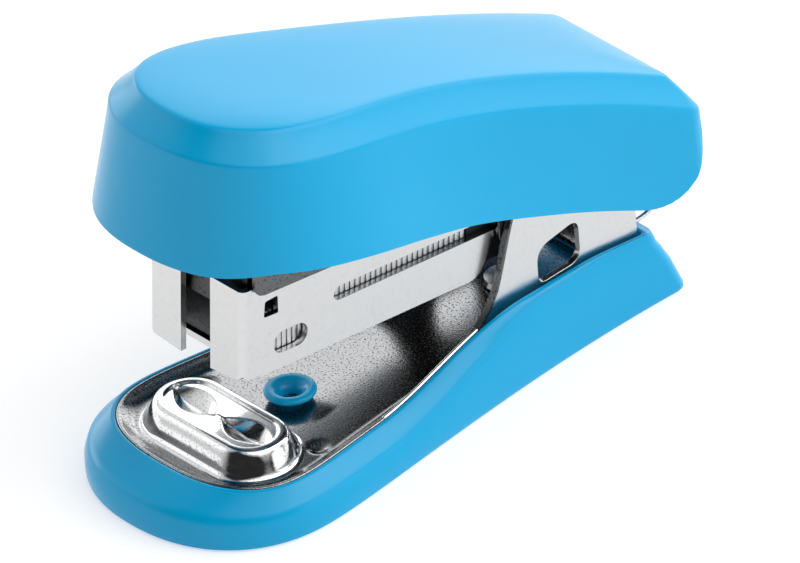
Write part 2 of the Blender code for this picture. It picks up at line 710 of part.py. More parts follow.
def build_handle(finish, hinge):
    """Moulded handle: a flared skirt, a crisp crease, a sloping band and a nearly flat top."""
    wall = SKIRT_WALL
    crease = crease_height
    rings = [
        level(handle_plan(5.0), lambda s: crease(s) + 3.3),
        level(handle_plan(2.6), lambda s: crease(s) + 2.9),
        level(handle_plan(1.6), lambda s: crease(s) + 1.9),
        level(handle_plan(0.7), lambda s: crease(s) + 0.7),
        level(handle_plan(0.0), lambda s: crease(s) + 0.1),
        level(handle_plan(-0.1), lambda s: crease(s) - 0.6),
        level(handle_plan(-0.1, 1.0), lambda s: max(crease(s) - 6.0, 0.4 * crease(s) + 0.6 * skirt_height(s))),
        level(handle_plan(-0.2, 2.1), skirt_height),
        level(handle_plan(wall - 0.2, 2.1), skirt_height),
        level(handle_plan(wall), lambda s: crease(s) - 1.2),
        level(handle_plan(wall + 1.8), lambda s: crease(s) + 1.2),
        level(handle_plan(wall + 3.6), lambda s: crease(s) + 1.8),
    ]
    shell = ring_solid(rings)
    made = new_object("handle_shell", shell, finish)
    smooth(made)
    made.parent = hinge
    made.matrix_parent_inverse = hinge.matrix_world.inverted()
    return made


def build_handle_spring(finish, hinge):
    """Torsion spring of the handle: its long leg rises behind the ears to the handle's roof."""
    y, z = PIVOT_Y, PIVOT_Z
    turns = coil(6.3, 7.0, 1.5, 2.3, y, z, 180.0)
    front = [(6.3, y - 7.0, z + 4.4), (6.3, y - 3.2, z + 1.2)]
    rear = [(7.0, y + 4.4, z - 2.6), (7.0, y + 8.6, z + 2.0)]
    spring = new_object("handle_spring", from_magazine(wire(front + turns + rear, HANDLE_WIRE, 6)), finish, hinge)
    smooth(spring, 60)


def joint_empty(name, location, tilt, parent=None):
    """An empty on a joint's axis, which the moving pieces hang from."""
    empty = bpy.data.objects.new(name, None)
    bpy.context.scene.collection.objects.link(empty)
    empty.location = location
    empty.rotation_euler = (tilt, 0, 0)
    empty.parent = parent
    return empty


def main():
    """Build every piece of the stapler."""
    clear_scene()
    blue = material("blue plastic", (0.02, 0.42, 0.80), 0.35, 0.0)
    nickel = material("bright nickel", (0.80, 0.80, 0.80), 0.2, 1.0)
    chrome = material("chrome steel", (0.62, 0.63, 0.64), 0.12, 1.0)
    dark = material("dark steel", (0.16, 0.17, 0.18), 0.3, 1.0)
    spring = material("spring steel", (0.45, 0.46, 0.47), 0.3, 1.0)
    staple = material("staple wire", (0.70, 0.70, 0.72), 0.3, 1.0)
    nylon = material("white nylon", (0.85, 0.85, 0.83), 0.5, 0.0)
    black = material("black acetal", (0.03, 0.03, 0.03), 0.45, 0.0)

    pivot = (0, y_of(PIVOT_STATION) * MM, PIVOT_HEIGHT * MM)
    magazine_hinge = joint_empty("magazine_hinge", pivot, -radians(TILT))
    handle_hinge = joint_empty("handle_hinge", (0, 0, 0), 0.0, magazine_hinge)
    pusher_slide = joint_empty("pusher_slide", (0, 0, 0), 0.0, magazine_hinge)
    bpy.context.view_layer.update()

    build_base_shell(blue)
    build_base_plate(chrome)
    build_plate_rivets(blue, nickel)
    build_pivot(nickel, dark, nylon)
    build_lift_spring(spring)

    build_magazine(nickel, magazine_hinge)
    build_rail(chrome, magazine_hinge)
    build_strip(staple, magazine_hinge)
    build_rod(spring, dark, magazine_hinge)
    build_pusher(black, pusher_slide)
    build_pusher_spring(spring, pusher_slide)

    build_handle(blue, handle_hinge)
    build_carrier(dark, handle_hinge)
    build_driver(chrome, nickel, handle_hinge)
    build_handle_spring(spring, handle_hinge)


main()
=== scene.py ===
"""Mini stapler: the finished surfaces, finishes, floor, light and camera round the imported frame.

Lengths are in millimetres until a mesh is made, and the finished pieces are in metres. A station is the
distance behind the tip of the base. The magazine, the carrier and what they hold are measured from the
magazine: y behind its front face, z above its lower edge.
"""
import logging
from abc import ABC, abstractmethod
from dataclasses import dataclass
from enum import Enum
from math import cos, hypot, pi, radians, sin, sqrt
from typing import Callable, Iterable, Sequence, Union

import bmesh
import bpy
from mathutils import Matrix, Vector


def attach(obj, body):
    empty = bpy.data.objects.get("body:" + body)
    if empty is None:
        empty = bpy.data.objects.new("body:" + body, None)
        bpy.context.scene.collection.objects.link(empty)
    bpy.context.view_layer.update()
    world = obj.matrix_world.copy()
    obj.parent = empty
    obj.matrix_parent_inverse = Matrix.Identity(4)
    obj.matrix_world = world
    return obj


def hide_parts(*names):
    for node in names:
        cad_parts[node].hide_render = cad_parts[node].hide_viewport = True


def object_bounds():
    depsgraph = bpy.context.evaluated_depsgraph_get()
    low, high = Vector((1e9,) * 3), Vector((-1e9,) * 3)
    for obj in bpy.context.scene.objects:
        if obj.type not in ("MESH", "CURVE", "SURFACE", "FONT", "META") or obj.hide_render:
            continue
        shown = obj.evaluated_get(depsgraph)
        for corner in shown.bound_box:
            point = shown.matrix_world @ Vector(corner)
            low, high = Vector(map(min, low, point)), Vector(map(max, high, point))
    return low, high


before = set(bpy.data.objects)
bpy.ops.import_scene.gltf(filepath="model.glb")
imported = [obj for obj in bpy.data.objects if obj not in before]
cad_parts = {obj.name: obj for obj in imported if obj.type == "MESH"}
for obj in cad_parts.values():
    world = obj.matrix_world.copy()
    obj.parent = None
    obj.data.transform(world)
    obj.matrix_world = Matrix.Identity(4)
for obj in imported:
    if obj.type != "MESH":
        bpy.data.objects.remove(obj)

CAD_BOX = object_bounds()
LOG = logging.getLogger("stapler")

MM = 0.001
LENGTH = 73.2
PIVOT = (58.9, 18.5)
MAGAZINE_PIVOT = (47.86, 7.15)
RIVET_STATION = 22.9
PLATE_FLOOR = 4.4
Point = tuple[float, float]
Height = Union[float, Callable[[float], float]]
Number = Union[float, "Signal"]


class Body(Enum):
    """The bodies of the frame that pieces ride on."""

    BASE = "base"
    MAGAZINE = "magazine"
    PUSHER = "pusher"
    HANDLE = "handle"


# Shader and geometry nodes ---------------------------------------------------------------------------

class Signal:
    """A node's output that can be used in sums, so that node maths reads as ordinary expressions."""

    def __init__(self, sheet: "NodeSheet", socket: bpy.types.NodeSocket) -> None:
        """Keep a socket and the helper of its tree."""
        self.sheet = sheet
        self.socket = socket

    def _maths(self, operation: str, first: Number, second: Number) -> "Signal":
        """Add one Math node and return its result."""
        return self.sheet.add("ShaderNodeMath", {"operation": operation}, {0: first, 1: second})

    def __add__(self, other: Number) -> "Signal":
        """Sum."""
        return self._maths("ADD", self, other)

    __radd__ = __add__

    def __sub__(self, other: Number) -> "Signal":
        """Difference."""
        return self._maths("SUBTRACT", self, other)

    def __rsub__(self, other: Number) -> "Signal":
        """Difference from a number."""
        return self._maths("SUBTRACT", other, self)

    def __mul__(self, other: Number) -> "Signal":
        """Product."""
        return self._maths("MULTIPLY", self, other)

    __rmul__ = __mul__

    def band(self, low: float, high: float) -> "Signal":
        """Map low..high to 0..1, eased at both ends and held outside."""
        return self.sheet.add("ShaderNodeMapRange", {"interpolation_type": "SMOOTHSTEP"},
                              {"Value": self, "From Min": low, "From Max": high})


class NodeSheet:
    """A node tree with one method that adds any node."""

    def __init__(self, tree: bpy.types.NodeTree) -> None:
        """Take a shader or geometry node tree to add nodes to."""
        self.tree = tree

    def add(self, kind: str, settings: dict | None = None, values: dict | None = None,
            output: int | str = 0) -> Signal:
        """Add a node, set it up and connect it.

        Args:
            kind: the node's type.
            settings: the node's own properties, set first.
            values: values or signals for its sockets, by index or name.
            output: which output to return.

        Returns:
            The chosen output.
        """
        node = self.tree.nodes.new(kind)
        for key, value in (settings or {}).items():
            setattr(node, key, value)
        for key, value in (values or {}).items():
            self.feed(node.inputs[key], value)
        return Signal(self, node.outputs[output])

    def feed(self, socket: bpy.types.NodeSocket, value: object) -> None:
        """Link a signal to a socket, or set the socket's own value.

        Args:
            socket: the input socket.
            value: a signal or a constant.
        """
        if isinstance(value, Signal):
            self.tree.links.new(value.socket, socket)
        else:
            socket.default_value = value


# Finishes ---------------------------------------------------------------------------------------------

Colour = tuple[float, float, float]


def grey(value: float) -> Colour:
    """A neutral colour."""
    return (value, value, value)


@dataclass(frozen=True)
class Finish(ABC):
    """A surface finish, made into a material once."""

    name: str
    colour: Colour
    roughness: float

    def make(self) -> bpy.types.Material:
        """Build the material.

        Returns:
            The new material.
        """
        made = bpy.data.materials.new(self.name)
        made.use_nodes = True
        sheet = NodeSheet(made.node_tree)
        shader = made.node_tree.nodes["Principled BSDF"]
        place = sheet.add("ShaderNodeTexCoord", output="Object")
        self.dress(sheet, shader, place)
        return made

    @abstractmethod
    def dress(self, sheet: NodeSheet, shader: bpy.types.Node, place: Signal) -> None:
        """Set up the shader.

        Args:
            sheet: the material's nodes.
            shader: the Principled shader.
            place: object coordinates, in metres.
        """

    @staticmethod
    def noise(sheet: NodeSheet, place: Signal, size: float, detail: float = 3.0) -> Signal:
        """Noise from 0 to 1 with patches of about a size in millimetres."""
        return sheet.add("ShaderNodeTexNoise", {}, {"Vector": place, "Scale": 1.0 / (size * MM),
                                                    "Detail": detail})

    @staticmethod
    def tint(sheet: NodeSheet, share: Number, low: Colour, high: Colour) -> Signal:
        """Mix two colours: a share of 0 gives low and 1 gives high."""
        return sheet.add("ShaderNodeMix", {"data_type": "RGBA"},
                         {"Factor": share, 6: (*low, 1.0), 7: (*high, 1.0)}, 2)

    @staticmethod
    def bump(sheet: NodeSheet, shader: bpy.types.Node, height: Signal, depth: float,
             strength: float = 1.0) -> None:
        """Press a pattern from 0 to 1 into the surface, to a depth in millimetres."""
        normal = sheet.add("ShaderNodeBump", {}, {"Height": height, "Distance": depth * MM,
                                                  "Strength": strength})
        sheet.feed(shader.inputs["Normal"], normal)


@dataclass(frozen=True)
class MouldedPlastic(Finish):
    """Satin moulded plastic: even colour with a faint flow pattern and a fine spark-eroded grain."""

    grain: float = 0.16
    depth: float = 0.004
    gloss: float = 0.26

    def dress(self, sheet: NodeSheet, shader: bpy.types.Node, place: Signal) -> None:
        """Colour, roughness and grain of the plastic.

        Args:
            sheet: the material's nodes.
            shader: the Principled shader.
            place: object coordinates.
        """
        flow = self.noise(sheet, place, 14.0, 2.0)
        fine = self.noise(sheet, place, self.grain, 2.0)
        low = tuple(c * 0.96 for c in self.colour)
        high = tuple(min(c * 1.04, 1.0) for c in self.colour)
        sheet.feed(shader.inputs["Base Color"], self.tint(sheet, flow, low, high))
        sheet.feed(shader.inputs["Roughness"], self.roughness - 0.04 + 0.05 * flow + 0.04 * fine)
        shader.inputs["Specular IOR Level"].default_value = self.gloss
        self.bump(sheet, shader, fine, self.depth, 0.35)


@dataclass(frozen=True)
class PlatedSteel(Finish):
    """Plated sheet steel: rolled grain under the plating, speckles, and faint handling marks."""

    speckle: float = 0.25
    pit_size: float = 0.35
    pit_depth: float = 0.012
    rolling: float = 0.0

    def dress(self, sheet: NodeSheet, shader: bpy.types.Node, place: Signal) -> None:
        """Plating with pits, a rolled grain and uneven gloss.

        Args:
            sheet: the material's nodes.
            shader: the Principled shader.
            place: object coordinates.
        """
        pits = self.noise(sheet, place, self.pit_size, 5.0)
        cloud = self.noise(sheet, place, 5.0, 3.0)
        spots = pits.band(0.52, 0.66)
        dark = tuple(c * (1.0 - self.speckle) for c in self.colour)
        sheet.feed(shader.inputs["Base Color"],
                   self.tint(sheet, spots * (0.5 + 0.5 * cloud), self.colour, dark))
        sheet.feed(shader.inputs["Roughness"],
                   self.roughness * (0.75 + 0.5 * cloud) + 0.35 * self.speckle * spots)
        shader.inputs["Metallic"].default_value = 1.0
        height = pits
        if self.rolling:
            long = sheet.add("ShaderNodeMapping", {}, {"Vector": place, "Scale": (1.0, 0.04, 1.0)})
            height = pits + self.rolling * self.noise(sheet, long, 0.12, 2.0)
        self.bump(sheet, shader, height, self.pit_depth, 0.6)


@dataclass(frozen=True)
class DrawnWire(Finish):
    """Drawn steel wire: bright, with fine lengthwise die marks."""

    def dress(self, sheet: NodeSheet, shader: bpy.types.Node, place: Signal) -> None:
        """Die marks and light tarnish.

        Args:
            sheet: the material's nodes.
            shader: the Principled shader.
            place: object coordinates.
        """
        marks = self.noise(sheet, place, 0.25, 4.0)
        low = tuple(c * 0.8 for c in self.colour)
        sheet.feed(shader.inputs["Base Color"], self.tint(sheet, marks, low, self.colour))
        sheet.feed(shader.inputs["Roughness"], self.roughness + 0.12 * marks)
        shader.inputs["Metallic"].default_value = 1.0
        self.bump(sheet, shader, marks, 0.004, 0.4)


@dataclass(frozen=True)
class StudioPaper(Finish):
    """Plain pale floor, which gives off some light of its own so that it stays white."""

    glow: float = 0.5

    def dress(self, sheet: NodeSheet, shader: bpy.types.Node, place: Signal) -> None:
        """An even matt white with the faintest tooth.

        Args:
            sheet: the material's nodes.
            shader: the Principled shader.
            place: object coordinates.
        """
        tooth = self.noise(sheet, place, 30.0, 2.0)
        low = tuple(c * 0.995 for c in self.colour)
        sheet.feed(shader.inputs["Base Color"], self.tint(sheet, tooth, low, self.colour))
        shader.inputs["Roughness"].default_value = self.roughness
        shader.inputs["Specular IOR Level"].default_value = 0.0
        shader.inputs["Emission Color"].default_value = (1.0, 1.0, 1.0, 1.0)
        shader.inputs["Emission Strength"].default_value = self.glow


class Finishes:
    """Every finish of the stapler, made once."""

    def __init__(self) -> None:
        """Make the materials."""
        self.blue = MouldedPlastic("blue_moulding", (0.0, 0.345, 0.635), 0.22).make()
        self.nylon = MouldedPlastic("white_nylon", (0.80, 0.80, 0.76), 0.45).make()
        self.acetal = MouldedPlastic("black_acetal", (0.018, 0.018, 0.02), 0.38).make()
        self.nickel = PlatedSteel("nickel_sheet", (0.64, 0.64, 0.64), 0.24, 0.05, 0.5, 0.003, 0.5).make()
        self.chrome = PlatedSteel("chrome_plate", (0.29, 0.295, 0.30), 0.12, 0.85, 0.22, 0.02).make()
        # bright_chrome also paints the highlight along the plate's rolled edge.
        self.bright = PlatedSteel("bright_chrome", (0.80, 0.805, 0.81), 0.07, 0.4, 0.22, 0.006).make()
        # dark_chrome also paints the dark reflection on the ears' cut fronts.
        self.dark = PlatedSteel("dark_chrome", (0.13, 0.135, 0.14), 0.2, 0.7, 0.25, 0.016).make()
        self.rail = PlatedSteel("rail_steel", (0.07, 0.07, 0.072), 0.3, 0.5, 0.3, 0.012, 1.0).make()
        self.staple = DrawnWire("staple_wire", (0.62, 0.62, 0.63), 0.28).make()
        self.spring = DrawnWire("spring_wire", (0.72, 0.72, 0.73), 0.2).make()
        self.floor = StudioPaper("studio_floor", grey(0.6), 0.9).make()


# Mesh helpers -----------------------------------------------------------------------------------------

def ease(value: float, start: float, end: float) -> float:
    """A smooth step that leaves 0 at start and reaches 1 at end."""
    t = min(max((value - start) / (end - start), 0.0), 1.0)
    return t * t * (3 - 2 * t)


def y_of(station: float) -> float:
    """Y of a station, in millimetres."""
    return station - LENGTH / 2


def arc(cy: float, cz: float, radius: float, start: float, end: float, steps: int = 12) -> list[Point]:
    """Points of an arc in the side view, from one angle to another in degrees."""
    angles = [radians(start + (end - start) * k / steps) for k in range(steps + 1)]
    return [(cy + radius * cos(a), cz + radius * sin(a)) for a in angles]


def stadium(cy: float, cz: float, length: float, height: float) -> list[Point]:
    """A long round-ended hole in the side view.

    Args:
        cy: centre.
        cz: centre.
        length: overall length.
        height: overall height.

    Returns:
        Its outline.
    """
    radius = height / 2
    reach = length / 2 - radius
    return arc(cy + reach, cz, radius, -90, 90) + arc(cy - reach, cz, radius, 90, 270)


def rounded(points: Sequence[Point], radii: float | Sequence[float], steps: int = 6) -> list[Point]:
    """Round the corners of a polygon with quadratic curves.

    Args:
        points: its corners.
        radii: how far each curve reaches along the sides, one for all or one for each corner.
        steps: chords of a corner.

    Returns:
        The rounded outline.
    """
    result = []
    for i, corner in enumerate(points):
        radius = radii if isinstance(radii, (int, float)) else radii[i]
        here = Vector(corner)
        if radius <= 0:
            result.append(tuple(here))
            continue
        before = Vector(points[i - 1]) - here
        after = Vector(points[(i + 1) % len(points)]) - here
        start = here + before.normalized() * min(radius, before.length * 0.49)
        end = here + after.normalized() * min(radius, after.length * 0.49)
        for k in range(steps + 1):
            t = k / steps
            result.append(tuple(start * (1 - t) ** 2 + here * 2 * t * (1 - t) + end * t ** 2))
    return result


def extrusion(outline: Sequence[Point], x0: float, x1: float,
              holes: Iterable[Sequence[Point]] = ()) -> bmesh.types.BMesh:
    """Extrude a side-view outline of (y, z) points.

    Args:
        outline: the outer loop.
        x0: where it starts.
        x1: where it ends.
        holes: inner loops.

    Returns:
        The solid.
    """
    bm = bmesh.new()
    edges = []
    for loop in (outline, *holes):
        verts = [bm.verts.new((x0, y, z)) for y, z in loop]
        edges += [bm.edges.new((verts[i - 1], verts[i])) for i in range(len(verts))]
    bmesh.ops.triangle_fill(bm, use_beauty=True, edges=edges)
    bmesh.ops.dissolve_limit(bm, angle_limit=radians(1.0), verts=bm.verts, edges=bm.edges)
    grown = bmesh.ops.extrude_face_region(bm, geom=list(bm.faces))
    moved = [item for item in grown["geom"] if isinstance(item, bmesh.types.BMVert)]
    bmesh.ops.translate(bm, vec=Vector((x1 - x0, 0, 0)), verts=moved)
    return bm


def turned(bm: bmesh.types.BMesh, matrix: Matrix) -> bmesh.types.BMesh:
    """Move a shape by a matrix and return it."""
    bmesh.ops.transform(bm, matrix=matrix, verts=bm.verts)
    return bm


UPRIGHT = Matrix(((0, 1, 0, 0), (0, 0, 1, 0), (1, 0, 0, 0), (0, 0, 0, 1)))


def upright(outline: Sequence[Point], z0: float, z1: float) -> bmesh.types.BMesh:
    """Extrude a plan-view outline of (x, y) points between two heights."""
    return turned(extrusion(outline, z0, z1), UPRIGHT)


def box(low: Sequence[float], high: Sequence[float]) -> bmesh.types.BMesh:
    """A block between its lowest and its highest corner."""
    corners = [(low[1], low[2]), (high[1], low[2]), (high[1], high[2]), (low[1], high[2])]
    return extrusion(corners, low[0], high[0])


def revolved(profile: Sequence[Point], centre: Sequence[float], axis: Sequence[float] = (0, 0, 1),
             steps: int = 64) -> bmesh.types.BMesh:
    """Turn a closed profile of (radius, height) points.

    Args:
        profile: the closed profile.
        centre: origin of the profile.
        axis: axis it turns about.
        steps: chords of the circle.

    Returns:
        The solid.
    """
    bm = bmesh.new()
    rings = []
    for k in range(steps):
        angle = 2 * pi * k / steps
        rings.append([bm.verts.new((r * cos(angle), r * sin(angle), h)) for r, h in profile])
    count = len(profile)
    for k in range(steps):
        here, there = rings[k], rings[(k + 1) % steps]
        for i in range(count):
            j = (i + 1) % count
            if profile[i][0] > 0 or profile[j][0] > 0:
                bm.faces.new((here[i], there[i], there[j], here[j]))
    bmesh.ops.remove_doubles(bm, verts=bm.verts, dist=1e-5)
    turn = Vector((0, 0, 1)).rotation_difference(Vector(axis)).to_matrix().to_4x4()
    return turned(bm, Matrix.Translation(Vector(centre)) @ turn)


def bridge(bm: bmesh.types.BMesh, rows: Sequence[Sequence[bmesh.types.BMVert]]) -> None:
    """Join neighbouring closed rows of matching points with faces.

    Args:
        bm: the shape.
        rows: the rows of its points, all of one length.
    """
    for low, high in zip(rows, rows[1:]):
        for i in range(len(low)):
            j = (i + 1) % len(low)
            bm.faces.new((low[i], low[j], high[j], high[i]))


def loft(rings: Sequence[Sequence[Sequence[float]]], back_steps: int) -> bmesh.types.BMesh:
    """Close matching rings into a solid whose two ends are capped across their width.

    Args:
        rings: the rings, each from the tip round the right side, the back and the left side.
        back_steps: chords of half of the straight back.

    Returns:
        The solid.
    """
    bm = bmesh.new()
    rows = [[bm.verts.new(point) for point in ring] for ring in rings]
    count = len(rows[0])
    bridge(bm, rows)
    back = count // 2 - back_steps
    for row in (rows[0], rows[-1]):
        bm.faces.new((row[0], row[1], row[-1]))
        for i in range(1, back - 1):
            bm.faces.new((row[i], row[i + 1], row[count - i - 1], row[count - i]))
        bm.faces.new(row[back - 1:count - back + 2])
    return bm


def tube(points: Sequence[Vector], radius: float, sides: int = 14) -> bmesh.types.BMesh:
    """A round wire along a smooth line through points, domed at both ends.

    Args:
        points: the wire's own points.
        radius: radius of the wire.
        sides: sides of its section.

    Returns:
        The solid.
    """
    bm = bmesh.new()
    rings = []
    normal = None
    last = len(points) - 1
    path = [(points[0], 0.55), (points[0], 0.9)] + [(p, 1.0) for p in points]
    path += [(points[last], 0.9), (points[last], 0.55)]
    for i, (here, share) in enumerate(path):
        k = min(max(i - 2, 0), last)
        ahead = (points[min(k + 1, last)] - points[max(k - 1, 0)]).normalized()
        if normal is None:
            normal = ahead.orthogonal().normalized()
        normal = (normal - ahead * normal.dot(ahead)).normalized()
        other = ahead.cross(normal)
        nudge = ahead * radius * 0.5 * sqrt(1 - share * share)
        nudge = -nudge if i < 2 else (nudge if i > last + 2 else Vector())
        rings.append([bm.verts.new(here + nudge + radius * share * (normal * cos(2 * pi * s / sides)
                                                                   + other * sin(2 * pi * s / sides)))
                      for s in range(sides)])
    bridge(bm, rings)
    bm.faces.new(rings[0])
    bm.faces.new(rings[-1])
    return bm


def smooth_path(points: Sequence[Sequence[float]], steps: int = 6) -> list[Vector]:
    """A Catmull-Rom line through points.

    Args:
        points: the points it passes.
        steps: chords between two of them.

    Returns:
        The denser line.
    """
    ends = [Vector(points[0]), *[Vector(p) for p in points], Vector(points[-1])]
    line = []
    for a, b, c, d in zip(ends, ends[1:], ends[2:], ends[3:]):
        for k in range(steps):
            t = k / steps
            line.append(0.5 * (2 * b + (c - a) * t + (2 * a - 5 * b + 4 * c - d) * t * t
                               + (3 * b - a - 3 * c + d) * t ** 3))
    line.append(ends[-1])
    return line


def combine(first: bmesh.types.BMesh, others: Iterable[bmesh.types.BMesh],
            operation: str = "UNION") -> bmesh.types.BMesh:
    """Join shapes, or cut the others out of the first.

    Args:
        first: the shape that is kept.
        others: the shapes joined to it or cut from it.
        operation: UNION or DIFFERENCE.

    Returns:
        The result.
    """
    shapes = []
    for bm in (first, *others):
        bmesh.ops.recalc_face_normals(bm, faces=bm.faces)
        mesh = bpy.data.meshes.new("shape")
        bm.to_mesh(mesh)
        bm.free()
        shape = bpy.data.objects.new("shape", mesh)
        bpy.context.scene.collection.objects.link(shape)
        shapes.append(shape)
    for other in shapes[1:]:
        step = shapes[0].modifiers.new("step", "BOOLEAN")
        step.operation = operation
        step.solver = "EXACT"
        step.object = other
    result = bmesh.new()
    result.from_object(shapes[0], bpy.context.evaluated_depsgraph_get())
    for shape in shapes:
        mesh = shape.data
        bpy.data.objects.remove(shape, do_unlink=True)
        bpy.data.meshes.remove(mesh)
    return result


@dataclass(frozen=True)
class Piece:
    """What every finished piece says to the frame."""

    name: str
    body: Body
    material: bpy.types.Material
    slot: str
    replaces: tuple[str, ...] = ()

    def settle(self, made: bpy.types.Object) -> None:
        """Give an object its material, and tell the frame about it.

        Args:
            made: the finished object, at the origin.
        """
        made.data.materials.clear()
        made.data.materials.append(self.material)
        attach(made, self.body.value)
        if self.replaces:
            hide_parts(*self.replaces)
        LOG.info("%s: %d faces", self.name, len(made.data.polygons))

    def make(self, bm: bmesh.types.BMesh, bevel: float = 0.0, angle: float = 32.0) -> None:
        """Turn a shape in millimetres into the finished piece.

        Args:
            bm: the shape, in the row frame.
            bevel: width of the rounding of its sharp edges.
            angle: faces that meet at less than this many degrees shade smooth.
        """
        bmesh.ops.recalc_face_normals(bm, faces=bm.faces)
        bmesh.ops.scale(bm, vec=Vector((MM, MM, MM)), verts=bm.verts)
        mesh = bpy.data.meshes.new(self.name)
        bm.to_mesh(mesh)
        bm.free()
        made = bpy.data.objects.new(self.name, mesh)
        bpy.context.scene.collection.objects.link(made)
        if bevel:
            edge = made.modifiers.new("edge", "BEVEL")
            edge.width = bevel * MM
            edge.segments = 3
            edge.limit_method = "ANGLE"
            edge.angle_limit = radians(38.0)
            edge.miter_outer = "MITER_ARC"
            flatten(made)
        made.data.shade_smooth()
        made.data.set_sharp_from_angle(angle=radians(angle))
        if bevel:
            made.modifiers.new("normals", "WEIGHTED_NORMAL").keep_sharp = True
            flatten(made)
        self.settle(made)


def flatten(made: bpy.types.Object) -> None:
    """Turn an object with modifiers into a plain mesh.

    Args:
        made: the object, whose modifiers are then removed.
    """
    dg = bpy.context.evaluated_depsgraph_get()
    mesh = bpy.data.meshes.new_from_object(made.evaluated_get(dg))
    made.modifiers.clear()
    old = made.data
    made.data = mesh
    bpy.data.meshes.remove(old)


# Shell plans ------------------------------------------------------------------------------------------

@dataclass(frozen=True)
class Plan:
    """Half of a shell's plan: a rounded front, a side that curves in to a waist, and a straight back."""

    tip: float
    half: float
    widest: float
    first: float
    second: float
    waist_half: float
    rear_half: float
    rear: float
    corner: float
    power: float = 2.5
    front_steps: int = 44
    side_steps: int = 90
    corner_steps: int = 20
    back_steps: int = 6

    def points(self) -> list[Point]:
        """Work out the half plan.

        Returns:
            (half width, station) from the tip to the middle of the back.
        """
        points = []
        for k in range(self.front_steps):
            angle = pi / 2 * k / self.front_steps
            across = self.half * sin(angle) ** (2 / self.power)
            points.append((across, self.widest - (self.widest - self.tip) * cos(angle) ** (2 / self.power)))
        end = self.rear - self.corner
        for k in range(self.side_steps):
            t = k / self.side_steps
            points.append((bezier(self.half, self.half, self.waist_half, self.rear_half, t),
                           bezier(self.widest, self.first, self.second, end, t)))
        inner = self.rear_half - self.corner
        for k in range(self.corner_steps):
            angle = pi / 2 * k / self.corner_steps
            points.append((inner + self.corner * cos(angle), end + self.corner * sin(angle)))
        for k in range(self.back_steps + 1):
            points.append((inner * (1 - k / self.back_steps), self.rear))
        return points

    def ring(self, height: Height) -> list[tuple[float, float, float]]:
        """Close the plan into a ring at a height.

        Args:
            height: a number, or a function of the station.

        Returns:
            The ring's points in millimetres.
        """
        z_of = height if callable(height) else lambda station: height
        right = [(w, y_of(s), z_of(s)) for w, s in self.points()]
        left = [(-x, y, z) for x, y, z in reversed(right[1:-1])]
        return right + left


def bezier(a: float, b: float, c: float, d: float, t: float) -> float:
    """A number along a cubic curve."""
    return a * (1 - t) ** 3 + 3 * b * t * (1 - t) ** 2 + 3 * c * t * t * (1 - t) + d * t ** 3


# Base -------------------------------------------------------------------------------------------------

@dataclass
class BaseShell:
    """Blue moulded tray: its side rises to a soft crease, and its top slopes in to the steel plate."""

    half: float = 15.3
    rear_half: float = 10.2
    rim_half: float = 12.7
    rim_rear_half: float = 9.25

    @staticmethod
    def rim(station: float) -> float:
        """Height of the rim at a station."""
        return 5.5 + 4.0 * ease(station, 25.0, 47.0) - 0.7 * ease(station, 56.0, 66.0)

    def outer(self, inset: float, rear: float) -> Plan:
        """Outer plan, drawn in by an inset, with its back at a station."""
        rear_half = self.rear_half - 0.3 * inset
        return Plan(inset, self.half - inset, 14.0, 22.0, 44.0, rear_half, rear_half, rear, 1.6, 2.22)

    def inner(self, inset: float, rear: float) -> Plan:
        """Plan of the opening that the plate fills, drawn in by an inset."""
        return Plan(4.9 + inset, self.rim_half - inset, 14.0, 20.0, 30.0, self.rim_rear_half - inset,
                    self.rim_rear_half - inset, rear, 0.6)

    def build(self, finishes: Finishes) -> None:
        """Make the tray.

        Args:
            finishes: the stapler's finishes.
        """
        rim = self.rim
        rings = [
            self.outer(1.6, 67.9).ring(0.9),
            self.outer(1.4, 68.3).ring(0.15),
            self.outer(0.9, 69.1).ring(0.0),
            self.outer(0.35, 69.6).ring(0.03),
            self.outer(0.08, 69.8).ring(0.15),
            self.outer(0.0, 69.75).ring(0.5),
            self.outer(-0.02, 69.4).ring(1.3),
            self.outer(0.02, 68.2).ring(lambda s: 0.55 * (rim(s) - 2.3) + 0.45 * 1.3),
            self.outer(0.28, 66.9).ring(lambda s: rim(s) - 2.3),
            self.outer(0.42, 66.6).ring(lambda s: rim(s) - 1.9),
            self.outer(0.7, 66.3).ring(lambda s: rim(s) - 1.55 + 0.6 * ease(s, 40.0, 50.0)),
            self.outer(1.1, 66.0).ring(lambda s: rim(s) - 1.25 + 0.9 * ease(s, 40.0, 50.0)),
            self.inner(-0.55, 65.15).ring(lambda s: rim(s) - 0.1),
            self.inner(-0.35, 64.95).ring(rim),
            self.inner(-0.15, 64.75).ring(rim),
            self.inner(-0.04, 64.64).ring(lambda s: rim(s) - 0.08),
            self.inner(0.0, 64.6).ring(lambda s: rim(s) - 0.2),
            self.inner(0.0, 64.6).ring(1.6),
        ]
        shell = loft(rings, Plan.back_steps)
        piece = Piece("tray_shell", Body.BASE, finishes.blue, "blue_plastic", ("base_shell",))
        piece.make(shell, angle=50.0)


